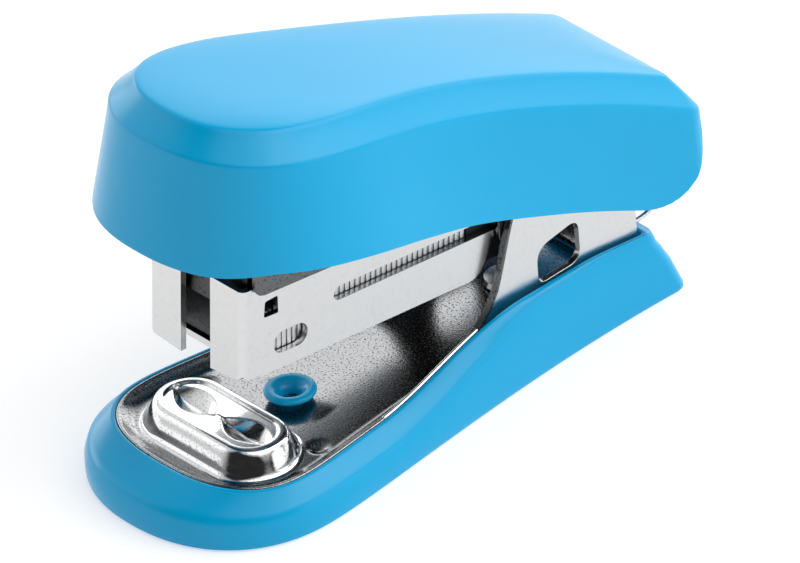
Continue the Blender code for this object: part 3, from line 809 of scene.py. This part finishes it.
@dataclass
class PressedPlate:
    """Chromed pressing: a shallow pan with a rolled edge, dimples, and two hinge ears with windows."""

    shell: BaseShell
    floor: float = PLATE_FLOOR
    sheet: float = 0.75
    lip: float = 0.03
    ear_inner: float = 8.15
    ear_outer: float = 8.95
    pivot: tuple[float, float] = PIVOT
    rivet_station: float = RIVET_STATION
    dimple: tuple[float, float] = (8.7, 18.9)

    def height(self, x: float, y: float, z: float) -> float:
        """Press the dimples and the rivet's seat into the pan's floor.

        Args:
            x: place across.
            y: place along.
            z: height of the plain floor.

        Returns:
            The pressed height.
        """
        far = hypot(abs(x) - self.dimple[0], y - y_of(self.dimple[1]))
        seat = hypot(x, y - y_of(self.rivet_station))
        return z - 0.55 * (1 - ease(far, 0.15, 1.45)) + 0.75 * (1 - ease(seat, 2.5, 5.0))

    def pan(self) -> bmesh.types.BMesh:
        """The pan: underside, edge, sloping side and a dense pressed floor.

        Returns:
            The solid.
        """
        lip = self.lip
        inner = self.shell.inner

        def rim(station: float) -> float:
            """The edge's height, which drops out of sight beside the ears."""
            return self.shell.rim(station) - 1.6 * ease(station, 40.0, 42.5)

        rings = [
            inner(lip + 1.5, 63.2).ring(self.floor - self.sheet),
            inner(lip + 0.5, 64.0).ring(self.floor - self.sheet + 0.5),
            inner(lip, 64.2).ring(lambda s: rim(s) - 1.0),
            inner(lip, 64.2).ring(lambda s: rim(s) - 0.1),
            inner(lip + 0.07, 64.1).ring(lambda s: rim(s) + 0.02),
            inner(lip + 0.22, 63.9).ring(lambda s: rim(s) + 0.06),
            inner(lip + 0.42, 63.65).ring(lambda s: rim(s) - 0.04),
            inner(lip + 0.62, 63.45).ring(lambda s: rim(s) - 0.3),
            inner(lip + 1.1, 63.1).ring(lambda s: 0.45 * rim(s) + 0.55 * self.floor),
            inner(lip + 1.5, 62.7).ring(lambda s: 0.15 * rim(s) + 0.85 * self.floor),
        ]
        for k in range(17):
            inset = lip + 2.0 + 0.32 * k
            ring = inner(inset, 62.2 - 0.4 * k).ring(self.floor)
            rings.append([(x, y, self.height(x, y, z)) for x, y, z in ring])
        return loft(rings, Plan.back_steps)

    def ear_outline(self) -> list[Point]:
        """Side view of a hinge ear.

        Returns:
            The outline.
        """
        front = [(39.0, 5.0), (39.6, 6.6), (41.6, 7.9), (43.1, 9.4), (44.3, 11.2), (45.0, 13.1),
                 (46.3, 17.0), (47.6, 20.5)]
        top = arc(51.0, 20.7, 3.2, 150, 90) + arc(60.9, 20.7, 3.2, 90, 0)
        return [(y_of(s), z) for s, z in front + top + [(64.1, 5.0)]]

    def build(self, finishes: Finishes) -> None:
        """Make the pan, the ears, the bright beads on the rolled edge that paint its highlight, the dark
        strips on the ears' cut fronts that paint their dark reflection, and the anvil.

        Args:
            finishes: the stapler's finishes.
        """
        name, slot = "base_plate", "chrome_steel"
        Piece("plate_pan", Body.BASE, finishes.chrome, slot, (name,)).make(self.pan(), angle=60.0)
        window = rounded([(50.2, 9.3), (56.1, 9.6), (56.1, 14.7), (50.2, 13.6)], [1.1, 1.6, 1.5, 1.8], 10)
        hole = arc(y_of(self.pivot[0]), self.pivot[1], 1.5, 0, 350, 35)
        for side, word in ((-1, "left"), (1, "right")):
            x0, x1 = sorted((side * self.ear_inner, side * self.ear_outer))
            ear = extrusion(self.ear_outline(), x0, x1, [[(y_of(s), z) for s, z in window], hole])
            Piece(f"plate_ear_{word}", Body.BASE, finishes.nickel, slot, (name,)).make(ear, 0.07)
            # Each ear's cut front gets a strip of dark chrome: painted reflection, standing for the dark room
            # that this face mirrors.
            front = self.ear_outline()[1:8]
            shaded_cut_outline = [(y - 0.06, z) for y, z in front] + [(y + 0.3, z) for y, z in reversed(front)]
            strip = extrusion(shaded_cut_outline, x0 - 0.02, x1 + 0.02)
            Piece(f"plate_shaded_cut_{word}", Body.BASE, finishes.dark, slot, (name,)).make(strip, 0.05)
            # Along each side of the rim a bead of bright chrome, much lighter than the pan's, paints the
            # rolled edge's highlight.
            edge_highlight = tube([Vector((side * (w - 0.22), y_of(s), self.shell.rim(s) - 0.06))
                         for w, s in self.shell.inner(self.lip, 64.2).points() if 26.0 < s < 41.0], 0.24)
            Piece(f"plate_edge_highlight_{word}", Body.BASE, finishes.bright, slot, (name,)).make(edge_highlight, angle=60.0)
        Anvil(self.floor).build(finishes)


@dataclass
class Anvil:
    """Raised pad with a lip, a sunk top and two clinching grooves."""

    floor: float
    station: float = 13.3
    top: float = 7.4
    groove_x: float = 4.05
    groove_half: float = 3.7
    groove_width: float = 1.95
    groove_depth: float = 1.0
    steps: int = 28

    def ring(self, depth: float, half: float, height: float) -> list[tuple[float, float, float]]:
        """A stadium across the plate, pressed by the grooves where it lies in the sunk top.

        Args:
            depth: half of its size along Y.
            half: half of its size along X.
            height: its height.

        Returns:
            The ring's points.
        """
        middle = y_of(self.station)
        reach = max(half - depth, 0.0)
        parts = self.steps - 4
        right = [(reach * k / parts, middle - depth) for k in range(parts)]
        for k in range(self.steps + 1):
            angle = -pi / 2 + pi * k / self.steps
            right.append((reach + depth * cos(angle), middle + depth * sin(angle)))
        right += [(reach * k / parts, middle + depth) for k in range(parts - 1, -1, -1)]
        ring = [(x, y, self.pressed(x, y - middle, height)) for x, y in right]
        return ring + [(-x, y, z) for x, y, z in reversed(ring[1:-1])]

    def pressed(self, x: float, y: float, height: float) -> float:
        """Height with the grooves pressed in.

        Args:
            x: place across.
            y: place along, from the pad's middle.
            height: height before pressing.

        Returns:
            The pressed height.
        """
        along = (abs(x) - self.groove_x) / self.groove_half
        if abs(along) >= 1 or height < self.top - 0.45:
            return height
        width = self.groove_width * (1 - along * along)
        centre = y - 0.25 * along
        share = abs(centre) / max(width, 1e-6)
        if share >= 1:
            return height
        return height - self.groove_depth * (1 - along * along) ** 0.6 * (1 - share ** 1.15)

    def build(self, finishes: Finishes) -> None:
        """Make the pad.

        Args:
            finishes: the stapler's finishes.
        """
        floor, top = self.floor, self.top
        rings = [
            self.ring(5.7, 10.4, floor - 0.35),
            self.ring(5.6, 10.3, floor + 0.01),
            self.ring(5.25, 9.95, floor + 0.06),
            self.ring(5.0, 9.7, floor + 0.25),
            self.ring(4.82, 9.52, floor + 0.6),
            self.ring(4.45, 9.15, floor + 1.6),
            self.ring(4.15, 8.85, top - 0.75),
            self.ring(3.98, 8.68, top - 0.4),
            self.ring(3.72, 8.42, top - 0.14),
            self.ring(3.4, 8.1, top - 0.02),
            self.ring(3.15, 7.85, top),
            self.ring(2.98, 7.68, top - 0.05),
            self.ring(2.85, 7.55, top - 0.2),
            self.ring(2.7, 7.4, top - 0.28),
        ]
        for k in range(1, 25):
            share = 1 - k / 25
            rings.append(self.ring(2.7 * share, 4.7 + 2.7 * share, top - 0.28))
        pad = bmesh.new()
        rows = [[pad.verts.new(point) for point in ring] for ring in rings]
        count = len(rows[0])
        bridge(pad, rows)
        pad.faces.new(rows[0])
        last = rows[-1]
        quarter = count // 2
        for i in range(quarter):
            pair = (last[i], last[i + 1], last[(count - i - 1) % count], last[(count - i) % count])
            corners = list(dict.fromkeys(pair))
            if len(corners) > 2:
                pad.faces.new(corners)
        piece = Piece("anvil_pad", Body.BASE, finishes.bright, "chrome_steel", ("base_plate",))
        piece.make(pad, angle=40.0)


@dataclass
class BaseHardware:
    """The moulded hollow rivet and the lift spring round the pin."""

    rivet_station: float = RIVET_STATION
    floor: float = PLATE_FLOOR
    pivot: tuple[float, float] = PIVOT

    def eyelet(self) -> bmesh.types.BMesh:
        """Hollow rivet: a flat collar round a funnel.

        Returns:
            The solid.
        """
        z = self.floor + 0.75
        collar = [(2.4, z + 0.02), (2.66, z + 0.14), (2.8, z + 0.34), (2.82, z + 0.5), (2.74, z + 0.66),
                  (2.56, z + 0.77), (2.3, z + 0.82), (1.98, z + 0.8), (1.75, z + 0.68), (1.25, z + 0.15),
                  (1.05, z - 0.1), (0.94, z - 0.5), (0.92, z - 2.9), (1.35, z - 2.9), (1.5, z)]
        return revolved(collar, (0, y_of(self.rivet_station), 0), steps=72)

    def build(self, finishes: Finishes) -> None:
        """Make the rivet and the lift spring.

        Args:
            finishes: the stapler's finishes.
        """
        rivet = Piece("eyelet", Body.BASE, finishes.blue, "blue_plastic", ("plate_rivet_front",))
        rivet.make(self.eyelet(), angle=70.0)
        y, z = y_of(self.pivot[0]), self.pivot[1]
        chords, radius = 56, 2.35
        angles = [pi + 7 * pi * k / chords for k in range(chords + 1)]
        turns = [(-3.4 + 2.8 * k / chords, y + radius * cos(a), z + radius * sin(a))
                 for k, a in enumerate(angles)]
        down = [(-3.4, y - 2.45, z - 7.5), (-3.4, y - 2.42, z - 5.2), (-3.4, y - 2.38, z - 2.8)]
        back = [(-0.6, y + 2.9, z - 2.6), (-0.6, y + 3.4, z - 5.0), (-0.6, y + 3.9, z - 8.5)]
        wire = tube(smooth_path(down + turns + back, 3), 0.35)
        piece = Piece("torsion_wire", Body.BASE, finishes.spring, "spring_steel", ("lift_spring",))
        piece.make(wire, angle=60.0)


# Magazine ---------------------------------------------------------------------------------------------

@dataclass(frozen=True)
class MagazineFrame:
    """Where the magazine's own measures lie in the row frame."""

    tilt: float = 5.0
    pivot_y: float = MAGAZINE_PIVOT[0]
    pivot_z: float = MAGAZINE_PIVOT[1]
    row_y: float = 22.3
    row_z: float = 18.5

    def matrix(self) -> Matrix:
        """Matrix from the magazine's measures to the row frame."""
        return (Matrix.Translation((0, self.row_y, self.row_z)) @ Matrix.Rotation(-radians(self.tilt), 4, "X")
                @ Matrix.Translation((0, -self.pivot_y, -self.pivot_z)))

    def place(self, bm: bmesh.types.BMesh) -> bmesh.types.BMesh:
        """Move a shape from the magazine's measures to the row frame."""
        return turned(bm, self.matrix())


@dataclass
class Magazine:
    """Bright folded channel: round front corners, a slotted wall on each side and a floor."""

    place: MagazineFrame
    half: float = 7.3
    sheet: float = 0.75
    height: float = 11.0
    length: float = 35.8
    flange: float = 5.0
    corner: float = 0.8
    chin: float = 1.1
    slot_low: float = 5.1
    slot_high: float = 6.77
    slot_start: float = 12.7

    def fold(self, side: int) -> list[Point]:
        """Plan of one wall with its flange, folded with a round corner.

        Args:
            side: 1 or -1.

        Returns:
            The (x, y) outline.
        """
        outer, inner = self.corner, self.corner - self.sheet
        cx, cy = self.half - outer, outer
        points = [(self.half - x, 0.0) for x in (self.flange, 1.8, 1.5, 1.2, 1.0)]
        points += [(cx + outer * sin(a), cy - outer * cos(a)) for a in (pi / 2 * k / 10 for k in range(11))]
        points += [(self.half, y) for y in (1.0, 1.2, 1.5, 1.8, self.length + 1.2)]
        wall = self.half - self.sheet
        points += [(wall, y) for y in (self.length + 1.2, 1.8, 1.5, 1.2, 1.0)]
        points += [(cx + inner * cos(a), cy - inner * sin(a)) for a in (pi / 2 * k / 4 for k in range(5))]
        points += [(self.half - x, self.sheet) for x in (1.0, 1.2, 1.5, 1.8, self.flange)]
        return [(side * x, y) for x, y in points]

    def build(self, finishes: Finishes) -> None:
        """Make the channel.

        Args:
            finishes: the stapler's finishes.
        """
        radius = (self.slot_high - self.slot_low) / 2
        slot = arc(self.slot_start + radius, self.slot_low + radius, radius, 270, 90)
        slot += [(40.0, self.slot_high), (40.0, self.slot_low)]
        square = [(3.0, 7.0), (5.0, 6.9), (4.9, 9.0), (3.15, 8.85)]
        rear = [(31.3, -1.0), (31.3, 0.0), (32.4, 0.2), (33.2, 0.75), (33.9, 1.8), (34.35, 3.0), (34.8, 4.2),
                (35.3, 4.8), (self.length, self.slot_low), (40.0, self.slot_low), (40.0, -1.0)]
        walls = [upright(self.fold(side), 0.0, self.height) for side in (-1, 1)]
        for wall in walls:
            for vert in wall.verts:
                far = max(self.half - abs(vert.co.x), vert.co.y) / 1.8
                if vert.co.z < 1.0 and far < 1.0:
                    vert.co.z += self.chin * (1 - far) ** 2
        floor = box((0.1 - self.half, 2.7, 0.0), (self.half - 0.1, 31.4, self.sheet))
        channel = combine(walls[0], [walls[1], floor])
        cutters = [extrusion(outline, -10.0, 10.0)
                   for outline in (slot, rounded(square, 0.25, 3), stadium(6.7, 3.17, 4.7, 2.6), rear)]
        channel = combine(channel, cutters, "DIFFERENCE")
        piece = Piece("magazine_channel", Body.MAGAZINE, finishes.nickel, "nickel_steel", ("magazine",))
        piece.make(self.place.place(channel), 0.09)


def open_tree(name: str, sockets: dict[str, str]) -> tuple[NodeSheet, dict[str, Signal]]:
    """Start a geometry node tree that gives out one geometry.

    Args:
        name: the tree's name.
        sockets: the kind of each input, by its name.

    Returns:
        The tree's sheet, and its inputs by name.
    """
    tree = bpy.data.node_groups.new(name, "GeometryNodeTree")
    tree.interface.new_socket("Geometry", in_out="OUTPUT", socket_type="NodeSocketGeometry")
    for label, kind in sockets.items():
        tree.interface.new_socket(label, in_out="INPUT", socket_type=kind)
    sheet = NodeSheet(tree)
    inputs = tree.nodes.new("NodeGroupInput")
    return sheet, {s.name: Signal(sheet, s) for s in inputs.outputs if s.name}


def close_tree(sheet: NodeSheet, shape: Signal, material: bpy.types.Material) -> None:
    """Make a tree's copies real, give them a finish and give them out.

    Args:
        sheet: the tree's sheet.
        shape: the geometry.
        material: its finish.
    """
    real = sheet.add("GeometryNodeRealizeInstances", {}, {"Geometry": shape})
    done = sheet.add("GeometryNodeSetMaterial", {}, {"Geometry": real, "Material": material})
    output = sheet.tree.nodes.new("NodeGroupOutput")
    sheet.feed(output.inputs[0], done)


def grown(tree: bpy.types.GeometryNodeTree, values: dict[str, float]) -> bmesh.types.BMesh:
    """Run a geometry node tree with its named inputs and take its mesh.

    Args:
        tree: the tree.
        values: the inputs' values by name.

    Returns:
        The mesh.
    """
    holder = bpy.data.objects.new("holder", bpy.data.meshes.new("holder"))
    bpy.context.scene.collection.objects.link(holder)
    modifier = holder.modifiers.new("grow", "NODES")
    modifier.node_group = tree
    for item in tree.interface.items_tree:
        if item.in_out == "INPUT" and item.name in values:
            modifier[item.identifier] = values[item.name]
    dg = bpy.context.evaluated_depsgraph_get()
    mesh = bpy.data.meshes.new_from_object(holder.evaluated_get(dg))
    bm = bmesh.new()
    bm.from_mesh(mesh)
    old = holder.data
    bpy.data.objects.remove(holder, do_unlink=True)
    bpy.data.meshes.remove(old)
    bpy.data.meshes.remove(mesh)
    return bm


@dataclass
class StapleStrip:
    """Half strip of separate staples, repeated along the rail by a geometry node tree."""

    place: MagazineFrame
    count: int = 40
    pitch: float = 0.73
    crown_half: float = 6.4
    leg: float = 6.0
    wire: float = 0.5
    start: float = 2.6
    foot: float = 0.9

    def tree(self, material: bpy.types.Material) -> bpy.types.GeometryNodeTree:
        """Build the tree that bends one staple from flat wire and repeats it.

        Args:
            material: the staples' finish.

        Returns:
            The tree.
        """
        measures = ("Pitch", "Crown", "Leg", "Wire width", "Wire thickness")
        sockets = {"Count": "NodeSocketInt", **dict.fromkeys(measures, "NodeSocketFloat")}
        sheet, given = open_tree("staple_strip_tree", sockets)
        tree = sheet.tree
        half = given["Crown"] * 0.5
        corners = [sheet.add("ShaderNodeCombineXYZ", {}, values)
                   for values in ({"X": 0.0 - half, "Z": 0.0 - given["Leg"]}, {"X": 0.0 - half},
                                  {"X": half}, {"X": half, "Z": 0.0 - given["Leg"]})]
        lines = [sheet.add("GeometryNodeCurvePrimitiveLine", {}, {"Start": a, "End": b})
                 for a, b in zip(corners, corners[1:])]
        joined = tree.nodes.new("GeometryNodeJoinGeometry")
        for line in reversed(lines):
            tree.links.new(line.socket, joined.inputs[0])
        mesh = sheet.add("GeometryNodeCurveToMesh", {}, {"Curve": Signal(sheet, joined.outputs[0])})
        merged = sheet.add("GeometryNodeMergeByDistance", {}, {"Geometry": mesh, "Distance": 1e-6})
        path = sheet.add("GeometryNodeMeshToCurve", {}, {"Mesh": merged})
        bent = sheet.add("GeometryNodeFilletCurve", {"mode": "POLY"},
                         {"Curve": path, "Radius": given["Wire thickness"] * 1.1, "Count": 4})
        section = sheet.add("GeometryNodeCurvePrimitiveQuadrilateral", {},
                            {"Width": given["Wire thickness"], "Height": given["Wire width"]})
        corner = sheet.add("GeometryNodeFilletCurve", {"mode": "POLY"},
                           {"Curve": section, "Radius": given["Wire thickness"] * 0.22, "Count": 2})
        staple = sheet.add("GeometryNodeCurveToMesh", {},
                           {"Curve": bent, "Profile Curve": corner, "Fill Caps": True})
        offset = sheet.add("ShaderNodeCombineXYZ", {}, {"Y": given["Pitch"]})
        row = sheet.add("GeometryNodeMeshLine", {"mode": "OFFSET"},
                        {"Count": given["Count"], "Offset": offset})
        many = sheet.add("GeometryNodeInstanceOnPoints", {}, {"Points": row, "Instance": staple})
        close_tree(sheet, many, material)
        return tree

    def build(self, finishes: Finishes) -> None:
        """Make the strip.

        Args:
            finishes: the stapler's finishes.
        """
        values = {"Count": self.count, "Pitch": self.pitch, "Crown": 2 * self.crown_half - self.wire,
                  "Leg": self.leg, "Wire width": self.pitch * 0.9, "Wire thickness": self.wire}
        bm = grown(self.tree(finishes.staple), values)
        top = self.foot + self.leg - self.wire / 2
        shift = Matrix.Translation((0, self.start + self.pitch / 2, top))
        strip = self.place.place(turned(bm, shift))
        Piece("staples", Body.MAGAZINE, finishes.staple, "staple_wire", ("staple_strip",)).make(strip)


@dataclass
class PusherSpring:
    """Compression spring on the rod, wound by a geometry node tree."""

    place: MagazineFrame
    start: float = 34.65
    end: float = 42.85
    height: float = 3.3
    radius: float = 1.35
    wire: float = 0.2
    turns: float = 8.0

    def tree(self, material: bpy.types.Material) -> bpy.types.GeometryNodeTree:
        """Build the tree that winds the wire.

        Args:
            material: the wire's finish.

        Returns:
            The tree.
        """
        measures = ("Turns", "Radius", "Length", "Wire radius")
        sheet, given = open_tree("spring_tree", dict.fromkeys(measures, "NodeSocketFloat"))
        coil = sheet.add("GeometryNodeCurveSpiral", {},
                         {"Resolution": 24, "Rotations": given["Turns"], "Start Radius": given["Radius"],
                          "End Radius": given["Radius"], "Height": given["Length"]})
        section = sheet.add("GeometryNodeCurvePrimitiveCircle", {"mode": "RADIUS"},
                            {"Resolution": 10, "Radius": given["Wire radius"]})
        wire = sheet.add("GeometryNodeCurveToMesh", {},
                         {"Curve": coil, "Profile Curve": section, "Fill Caps": True})
        close_tree(sheet, wire, material)
        return sheet.tree

    def build(self, finishes: Finishes) -> None:
        """Make the spring.

        Args:
            finishes: the stapler's finishes.
        """
        values = {"Turns": self.turns, "Radius": self.radius, "Length": self.end - self.start,
                  "Wire radius": self.wire}
        bm = grown(self.tree(finishes.spring), values)
        lay = Matrix.Translation((0, self.start, self.height)) @ Matrix.Rotation(-pi / 2, 4, "X")
        spring = self.place.place(turned(bm, lay))
        piece = Piece("pusher_coil", Body.PUSHER, finishes.spring, "spring_steel", ("pusher_spring",))
        piece.make(spring, angle=60.0)


# Handle -----------------------------------------------------------------------------------------------

@dataclass
class HandleShell:
    """Blue moulded handle: flared skirt, crisp crease, sloping band and a nearly flat top."""

    wall: float = 1.5

    @staticmethod
    def crease(station: float) -> float:
        """Height of the crease."""
        along = station - 6.0
        return 45.0 - 0.15 * along - 0.003077 * along * along

    def skirt(self, station: float) -> float:
        """Lower edge of the skirt, which runs up in a round at the rear."""
        turn = min(max((station - 62.5) / 9.5, 0.0), 1.0)
        crease = self.crease(station)
        drop = 12.9 - ease(station, 5.0, 12.0) * (0.95 - 0.55 * ease(station, 20.0, 36.0)
                                                  - 0.4 * ease(station, 36.0, 50.0))
        return crease - drop + 9.9 * (1 - sqrt(1 - turn * turn))

    @staticmethod
    def plan(inset: float, flare: float = 0.0) -> Plan:
        """Plan at the crease, drawn in by an inset and widened by a flare, less at the rear."""
        return Plan(6.4 + inset - 1.1 * flare, 13.4 - inset + flare, 20.5, 30.0, 33.0,
                    9.7 - inset + 0.6 * flare, 11.5 - inset + 0.08 * flare, LENGTH - 0.3 - max(inset, 0.0),
                    max(2.4 - inset, 0.9), 2.32)

    def build(self, finishes: Finishes) -> None:
        """Make the shell.

        Args:
            finishes: the stapler's finishes.
        """
        crease, skirt, wall = self.crease, self.skirt, self.wall

        def above(rise: float) -> Callable[[float], float]:
            """A height that follows the crease."""
            return lambda s: crease(s) + rise

        def between(share: float) -> Callable[[float], float]:
            """A height between the crease and the skirt's edge."""
            return lambda s: (crease(s) - 0.6) * (1 - share) + skirt(s) * share

        top = [(9.0, 3.45), (7.5, 3.42), (6.0, 3.34), (4.6, 3.22), (3.6, 3.08), (3.1, 2.98), (2.8, 2.88),
               (2.62, 2.74), (2.45, 2.52), (1.9, 1.9), (1.2, 1.16), (0.55, 0.52), (0.18, 0.18), (0.05, 0.03),
               (-0.02, -0.12), (-0.08, -0.45)]
        rings = [self.plan(inset).ring(above(rise)) for inset, rise in top]
        for k in range(1, 9):
            share = k / 8
            rings.append(self.plan(-0.1 - 0.1 * share, 2.1 * share ** 1.05).ring(between(share)))
        lip = 0.35
        rings += [
            self.plan(lip - 0.2, 2.1).ring(lambda s: skirt(s) - 0.1),
            self.plan(wall - lip - 0.2, 2.1).ring(lambda s: skirt(s) - 0.1),
            self.plan(wall - 0.2, 2.1).ring(lambda s: skirt(s) + 0.15),
            self.plan(wall).ring(above(-1.2)),
            self.plan(wall + 0.6).ring(above(0.1)),
            self.plan(wall + 1.8).ring(above(1.2)),
            self.plan(wall + 3.6).ring(above(1.8)),
            self.plan(wall + 6.5).ring(above(2.0)),
        ]
        shell = loft(rings, Plan.back_steps)
        piece = Piece("handle_cover", Body.HANDLE, finishes.blue, "blue_plastic", ("handle_shell",))
        piece.make(shell, angle=28.0)


@dataclass
class Carrier:
    """Dark pressed channel in the handle, with round shoulders and a lip round its front."""

    place: MagazineFrame
    inner: float = 7.45
    sheet: float = 0.6
    top: float = 19.5
    rear_top: float = 16.4
    low: float = 10.2

    def outline(self) -> list[Point]:
        """Side view.

        Returns:
            The outline.
        """
        low = self.low
        front = [(1.2, low + 1.4), (1.35, low + 0.75), (1.8, low + 0.25), (2.5, low + 0.02), (3.4, low),
                 (33.6, low - 0.6)]
        ear = [(34.4, 8.6), (34.8, 7.6), (35.05, 5.9), (35.2, 4.2), (35.7, 3.1), (36.6, 2.4), (38.2, 2.2),
               (40.0, 2.2), (49.0, 3.2), (51.6, 5.4), (51.6, 9.0), (50.4, 12.4)]
        return front + ear + [(46.4, self.rear_top), (1.2, self.top)]

    def build(self, finishes: Finishes) -> None:
        """Make the channel.

        Args:
            finishes: the stapler's finishes.
        """
        outer = self.inner + self.sheet
        bore = arc(*MAGAZINE_PIVOT, 1.45, 0, 350, 35)
        block = extrusion(self.outline(), -outer, outer, [bore])
        hollow = extrusion([(0.0, 0.0), (60.0, 0.0), (60.0, self.rear_top - 0.9 - self.sheet),
                            (46.4, self.rear_top - self.sheet), (0.0, self.top - self.sheet + 0.08)],
                           -self.inner, self.inner)
        channel = combine(block, [hollow], "DIFFERENCE")
        tab = box((-6.4, 3.9, self.top - 5.2), (6.4, 4.6, self.top - 0.5))
        channel = combine(channel, [tab])
        piece = Piece("carrier_channel", Body.HANDLE, finishes.dark, "dark_steel", ("carrier",))
        piece.make(self.place.place(channel), 0.12)


@dataclass
class HandleSpring:
    """Torsion spring of the handle, whose long leg shows behind the ears."""

    place: MagazineFrame
    pivot: tuple[float, float] = MAGAZINE_PIVOT
    radius: float = 2.3
    wire: float = 0.28

    def build(self, finishes: Finishes) -> None:
        """Make the spring.

        Args:
            finishes: the stapler's finishes.
        """
        y, z = self.pivot
        turns = [(6.3 + 0.7 * k / 24, y + self.radius * cos(pi + 3 * pi * k / 24),
                  z + self.radius * sin(pi + 3 * pi * k / 24)) for k in range(25)]
        front = [(6.3, y - 7.0, z + 4.4), (6.3, y - 4.6, z + 2.2), (6.3, y - 3.0, z + 0.8)]
        rear = [(7.4, y + 2.6, z - 2.2), (7.7, y + 3.8, z - 5.2), (7.8, y + 5.2, z - 7.9),
                (7.8, y + 6.75, z - 8.4), (7.8, y + 9.3, z - 7.55), (7.6, y + 10.8, z - 5.2),
                (7.4, y + 11.0, z - 2.5)]
        spring = self.place.place(tube(smooth_path(front + turns + rear, 4), self.wire))
        piece = Piece("handle_wire", Body.HANDLE, finishes.spring, "spring_steel", ("handle_spring",))
        piece.make(spring, angle=60.0)


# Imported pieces, floor, light and camera ---------------------------------------------------------------

def dress_packed(finishes: Finishes) -> None:
    """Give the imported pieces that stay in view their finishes.

    Args:
        finishes: the stapler's finishes.
    """
    worn = {
        finishes.nickel: ("plate_rivet_rear", "pivot_pin", "driver_rivet_left", "driver_rivet_right"),
        finishes.dark: ("pivot_ring_left", "pivot_ring_right", "rod_stop"),
        finishes.rail: ("staple_rail", "driver_blade"),
        finishes.spring: ("spring_rod",),
        finishes.acetal: ("pusher",),
        finishes.nylon: ("pivot_bush",),
    }
    for material, names in worn.items():
        for name in names:
            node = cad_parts[name]
            node.data.materials.clear()
            node.data.materials.append(material)
            LOG.info("%s: packed piece in %s", name, material.name)


@dataclass(frozen=True)
class Lobe:
    """A bright soft patch of the room, by its bearing from +X towards +Y and its height in degrees."""

    bearing: float
    height: float
    power: float
    wide: bool = True

    def toward(self) -> Vector:
        """Direction of its middle."""
        b, h = radians(self.bearing), radians(self.height)
        return Vector((cos(h) * cos(b), cos(h) * sin(b), sin(h)))

    def limits(self) -> tuple[float, float]:
        """Cosines at which it starts and is full."""
        return (0.72, 0.99) if self.wide else (0.92, 0.97)


@dataclass
class Studio:
    """Pale floor, the light of the room, and the camera.

    Ten of the thirteen lobes came out of a least-squares solver and weren't set by hand: eight were only
    rounded, and those at 215 and 202 degrees were then changed. The last three were added. The
    camera's angles and framing are fitted values too.
    """

    azimuth: float = 50.42
    elevation: float = 33.76
    roll: float = 4.39
    lens: float = 1000.0
    sensor: float = 36.0
    width: float = 83.25
    aim: tuple[float, float, float] = (0.0, -13.7, 6.0)
    aim_offset: tuple[float, float] = (11.46, 10.92)

    ambient: float = 0.03
    lobes: tuple[Lobe, ...] = (Lobe(90, 8, 1.9), Lobe(135, 8, 1.8), Lobe(215, 8, 0.9), Lobe(202, 35, 1.0),
                               Lobe(0, 62, 1.95), Lobe(25, 48, 1.0, False), Lobe(70, 38, 2.35, False),
                               Lobe(127, 33, 0.8, False), Lobe(150, 45, 0.5, False),
                               Lobe(0, 30, 0.6, False), Lobe(180, 5, 3.0, False), Lobe(44, 40, 2.2, False),
                               Lobe(32, 4, 2.0, False))

    def axes(self) -> tuple[Vector, Vector, Vector]:
        """Right, up and back directions of the camera."""
        a, e, r = radians(self.azimuth), radians(self.elevation), radians(self.roll)
        level = Vector((cos(a), sin(a), 0))
        rise = Vector((-sin(e) * sin(a), sin(e) * cos(a), cos(e)))
        right = cos(r) * level - sin(r) * rise
        up = sin(r) * level + cos(r) * rise
        return right, up, right.cross(up)

    def camera(self) -> None:
        """Place the camera far away behind a long lens."""
        right, up, back = self.axes()
        target = Vector(self.aim) + right * self.aim_offset[0] + up * self.aim_offset[1]
        middle = (CAD_BOX[0] + CAD_BOX[1]) / 2 / MM
        target += back * back.dot(middle - target)
        distance = self.width * self.lens / self.sensor
        data = bpy.data.cameras.new("camera")
        data.lens = self.lens
        data.sensor_width = self.sensor
        data.clip_start = 0.01
        data.clip_end = 50.0
        eye = bpy.data.objects.new("camera", data)
        bpy.context.scene.collection.objects.link(eye)
        turn = Matrix((right, up, back)).transposed().to_4x4()
        eye.matrix_world = Matrix.Translation((target + back * distance) * MM) @ turn
        bpy.context.scene.camera = eye

    def floor(self, finishes: Finishes) -> None:
        """Lay the floor.

        Args:
            finishes: the stapler's finishes.
        """
        bm = bmesh.new()
        bmesh.ops.create_grid(bm, x_segments=1, y_segments=1, size=12.0)
        mesh = bpy.data.meshes.new("floor")
        bm.to_mesh(mesh)
        bm.free()
        mesh.materials.append(finishes.floor)
        ground = bpy.data.objects.new("floor", mesh)
        ground.location = (0, 0, -0.0001)
        bpy.context.scene.collection.objects.link(ground)

    def light(self) -> None:
        """Light the set with the lobes over a faint even room light."""
        world = bpy.data.worlds.new("room")
        bpy.context.scene.world = world
        world.use_nodes = True
        sheet = NodeSheet(world.node_tree)
        ground = world.node_tree.nodes["Background"]
        place = sheet.add("ShaderNodeTexCoord", output="Generated")
        strength: Number = self.ambient
        for lobe in self.lobes:
            facing = sheet.add("ShaderNodeVectorMath", {"operation": "DOT_PRODUCT"},
                               {0: place, 1: lobe.toward()}, "Value")
            strength = facing.band(*lobe.limits()) * lobe.power + strength
        ground.inputs["Color"].default_value = (0.8, 0.8, 0.8, 1.0)
        sheet.feed(ground.inputs["Strength"], strength)


def main() -> None:
    """Build every piece of the stapler and the set it stands on."""
    logging.basicConfig(level=logging.INFO, format="%(name)s: %(message)s")
    bpy.context.scene.view_settings.view_transform = "Standard"
    finishes = Finishes()
    place = MagazineFrame()
    shell = BaseShell()
    parts = (shell, PressedPlate(shell), BaseHardware(), Magazine(place), StapleStrip(place),
             PusherSpring(place), HandleShell(), Carrier(place), HandleSpring(place))
    for part in parts:
        part.build(finishes)
    dress_packed(finishes)
    studio = Studio()
    studio.floor(finishes)
    studio.light()
    studio.camera()


if __name__ == "__main__":
    main()
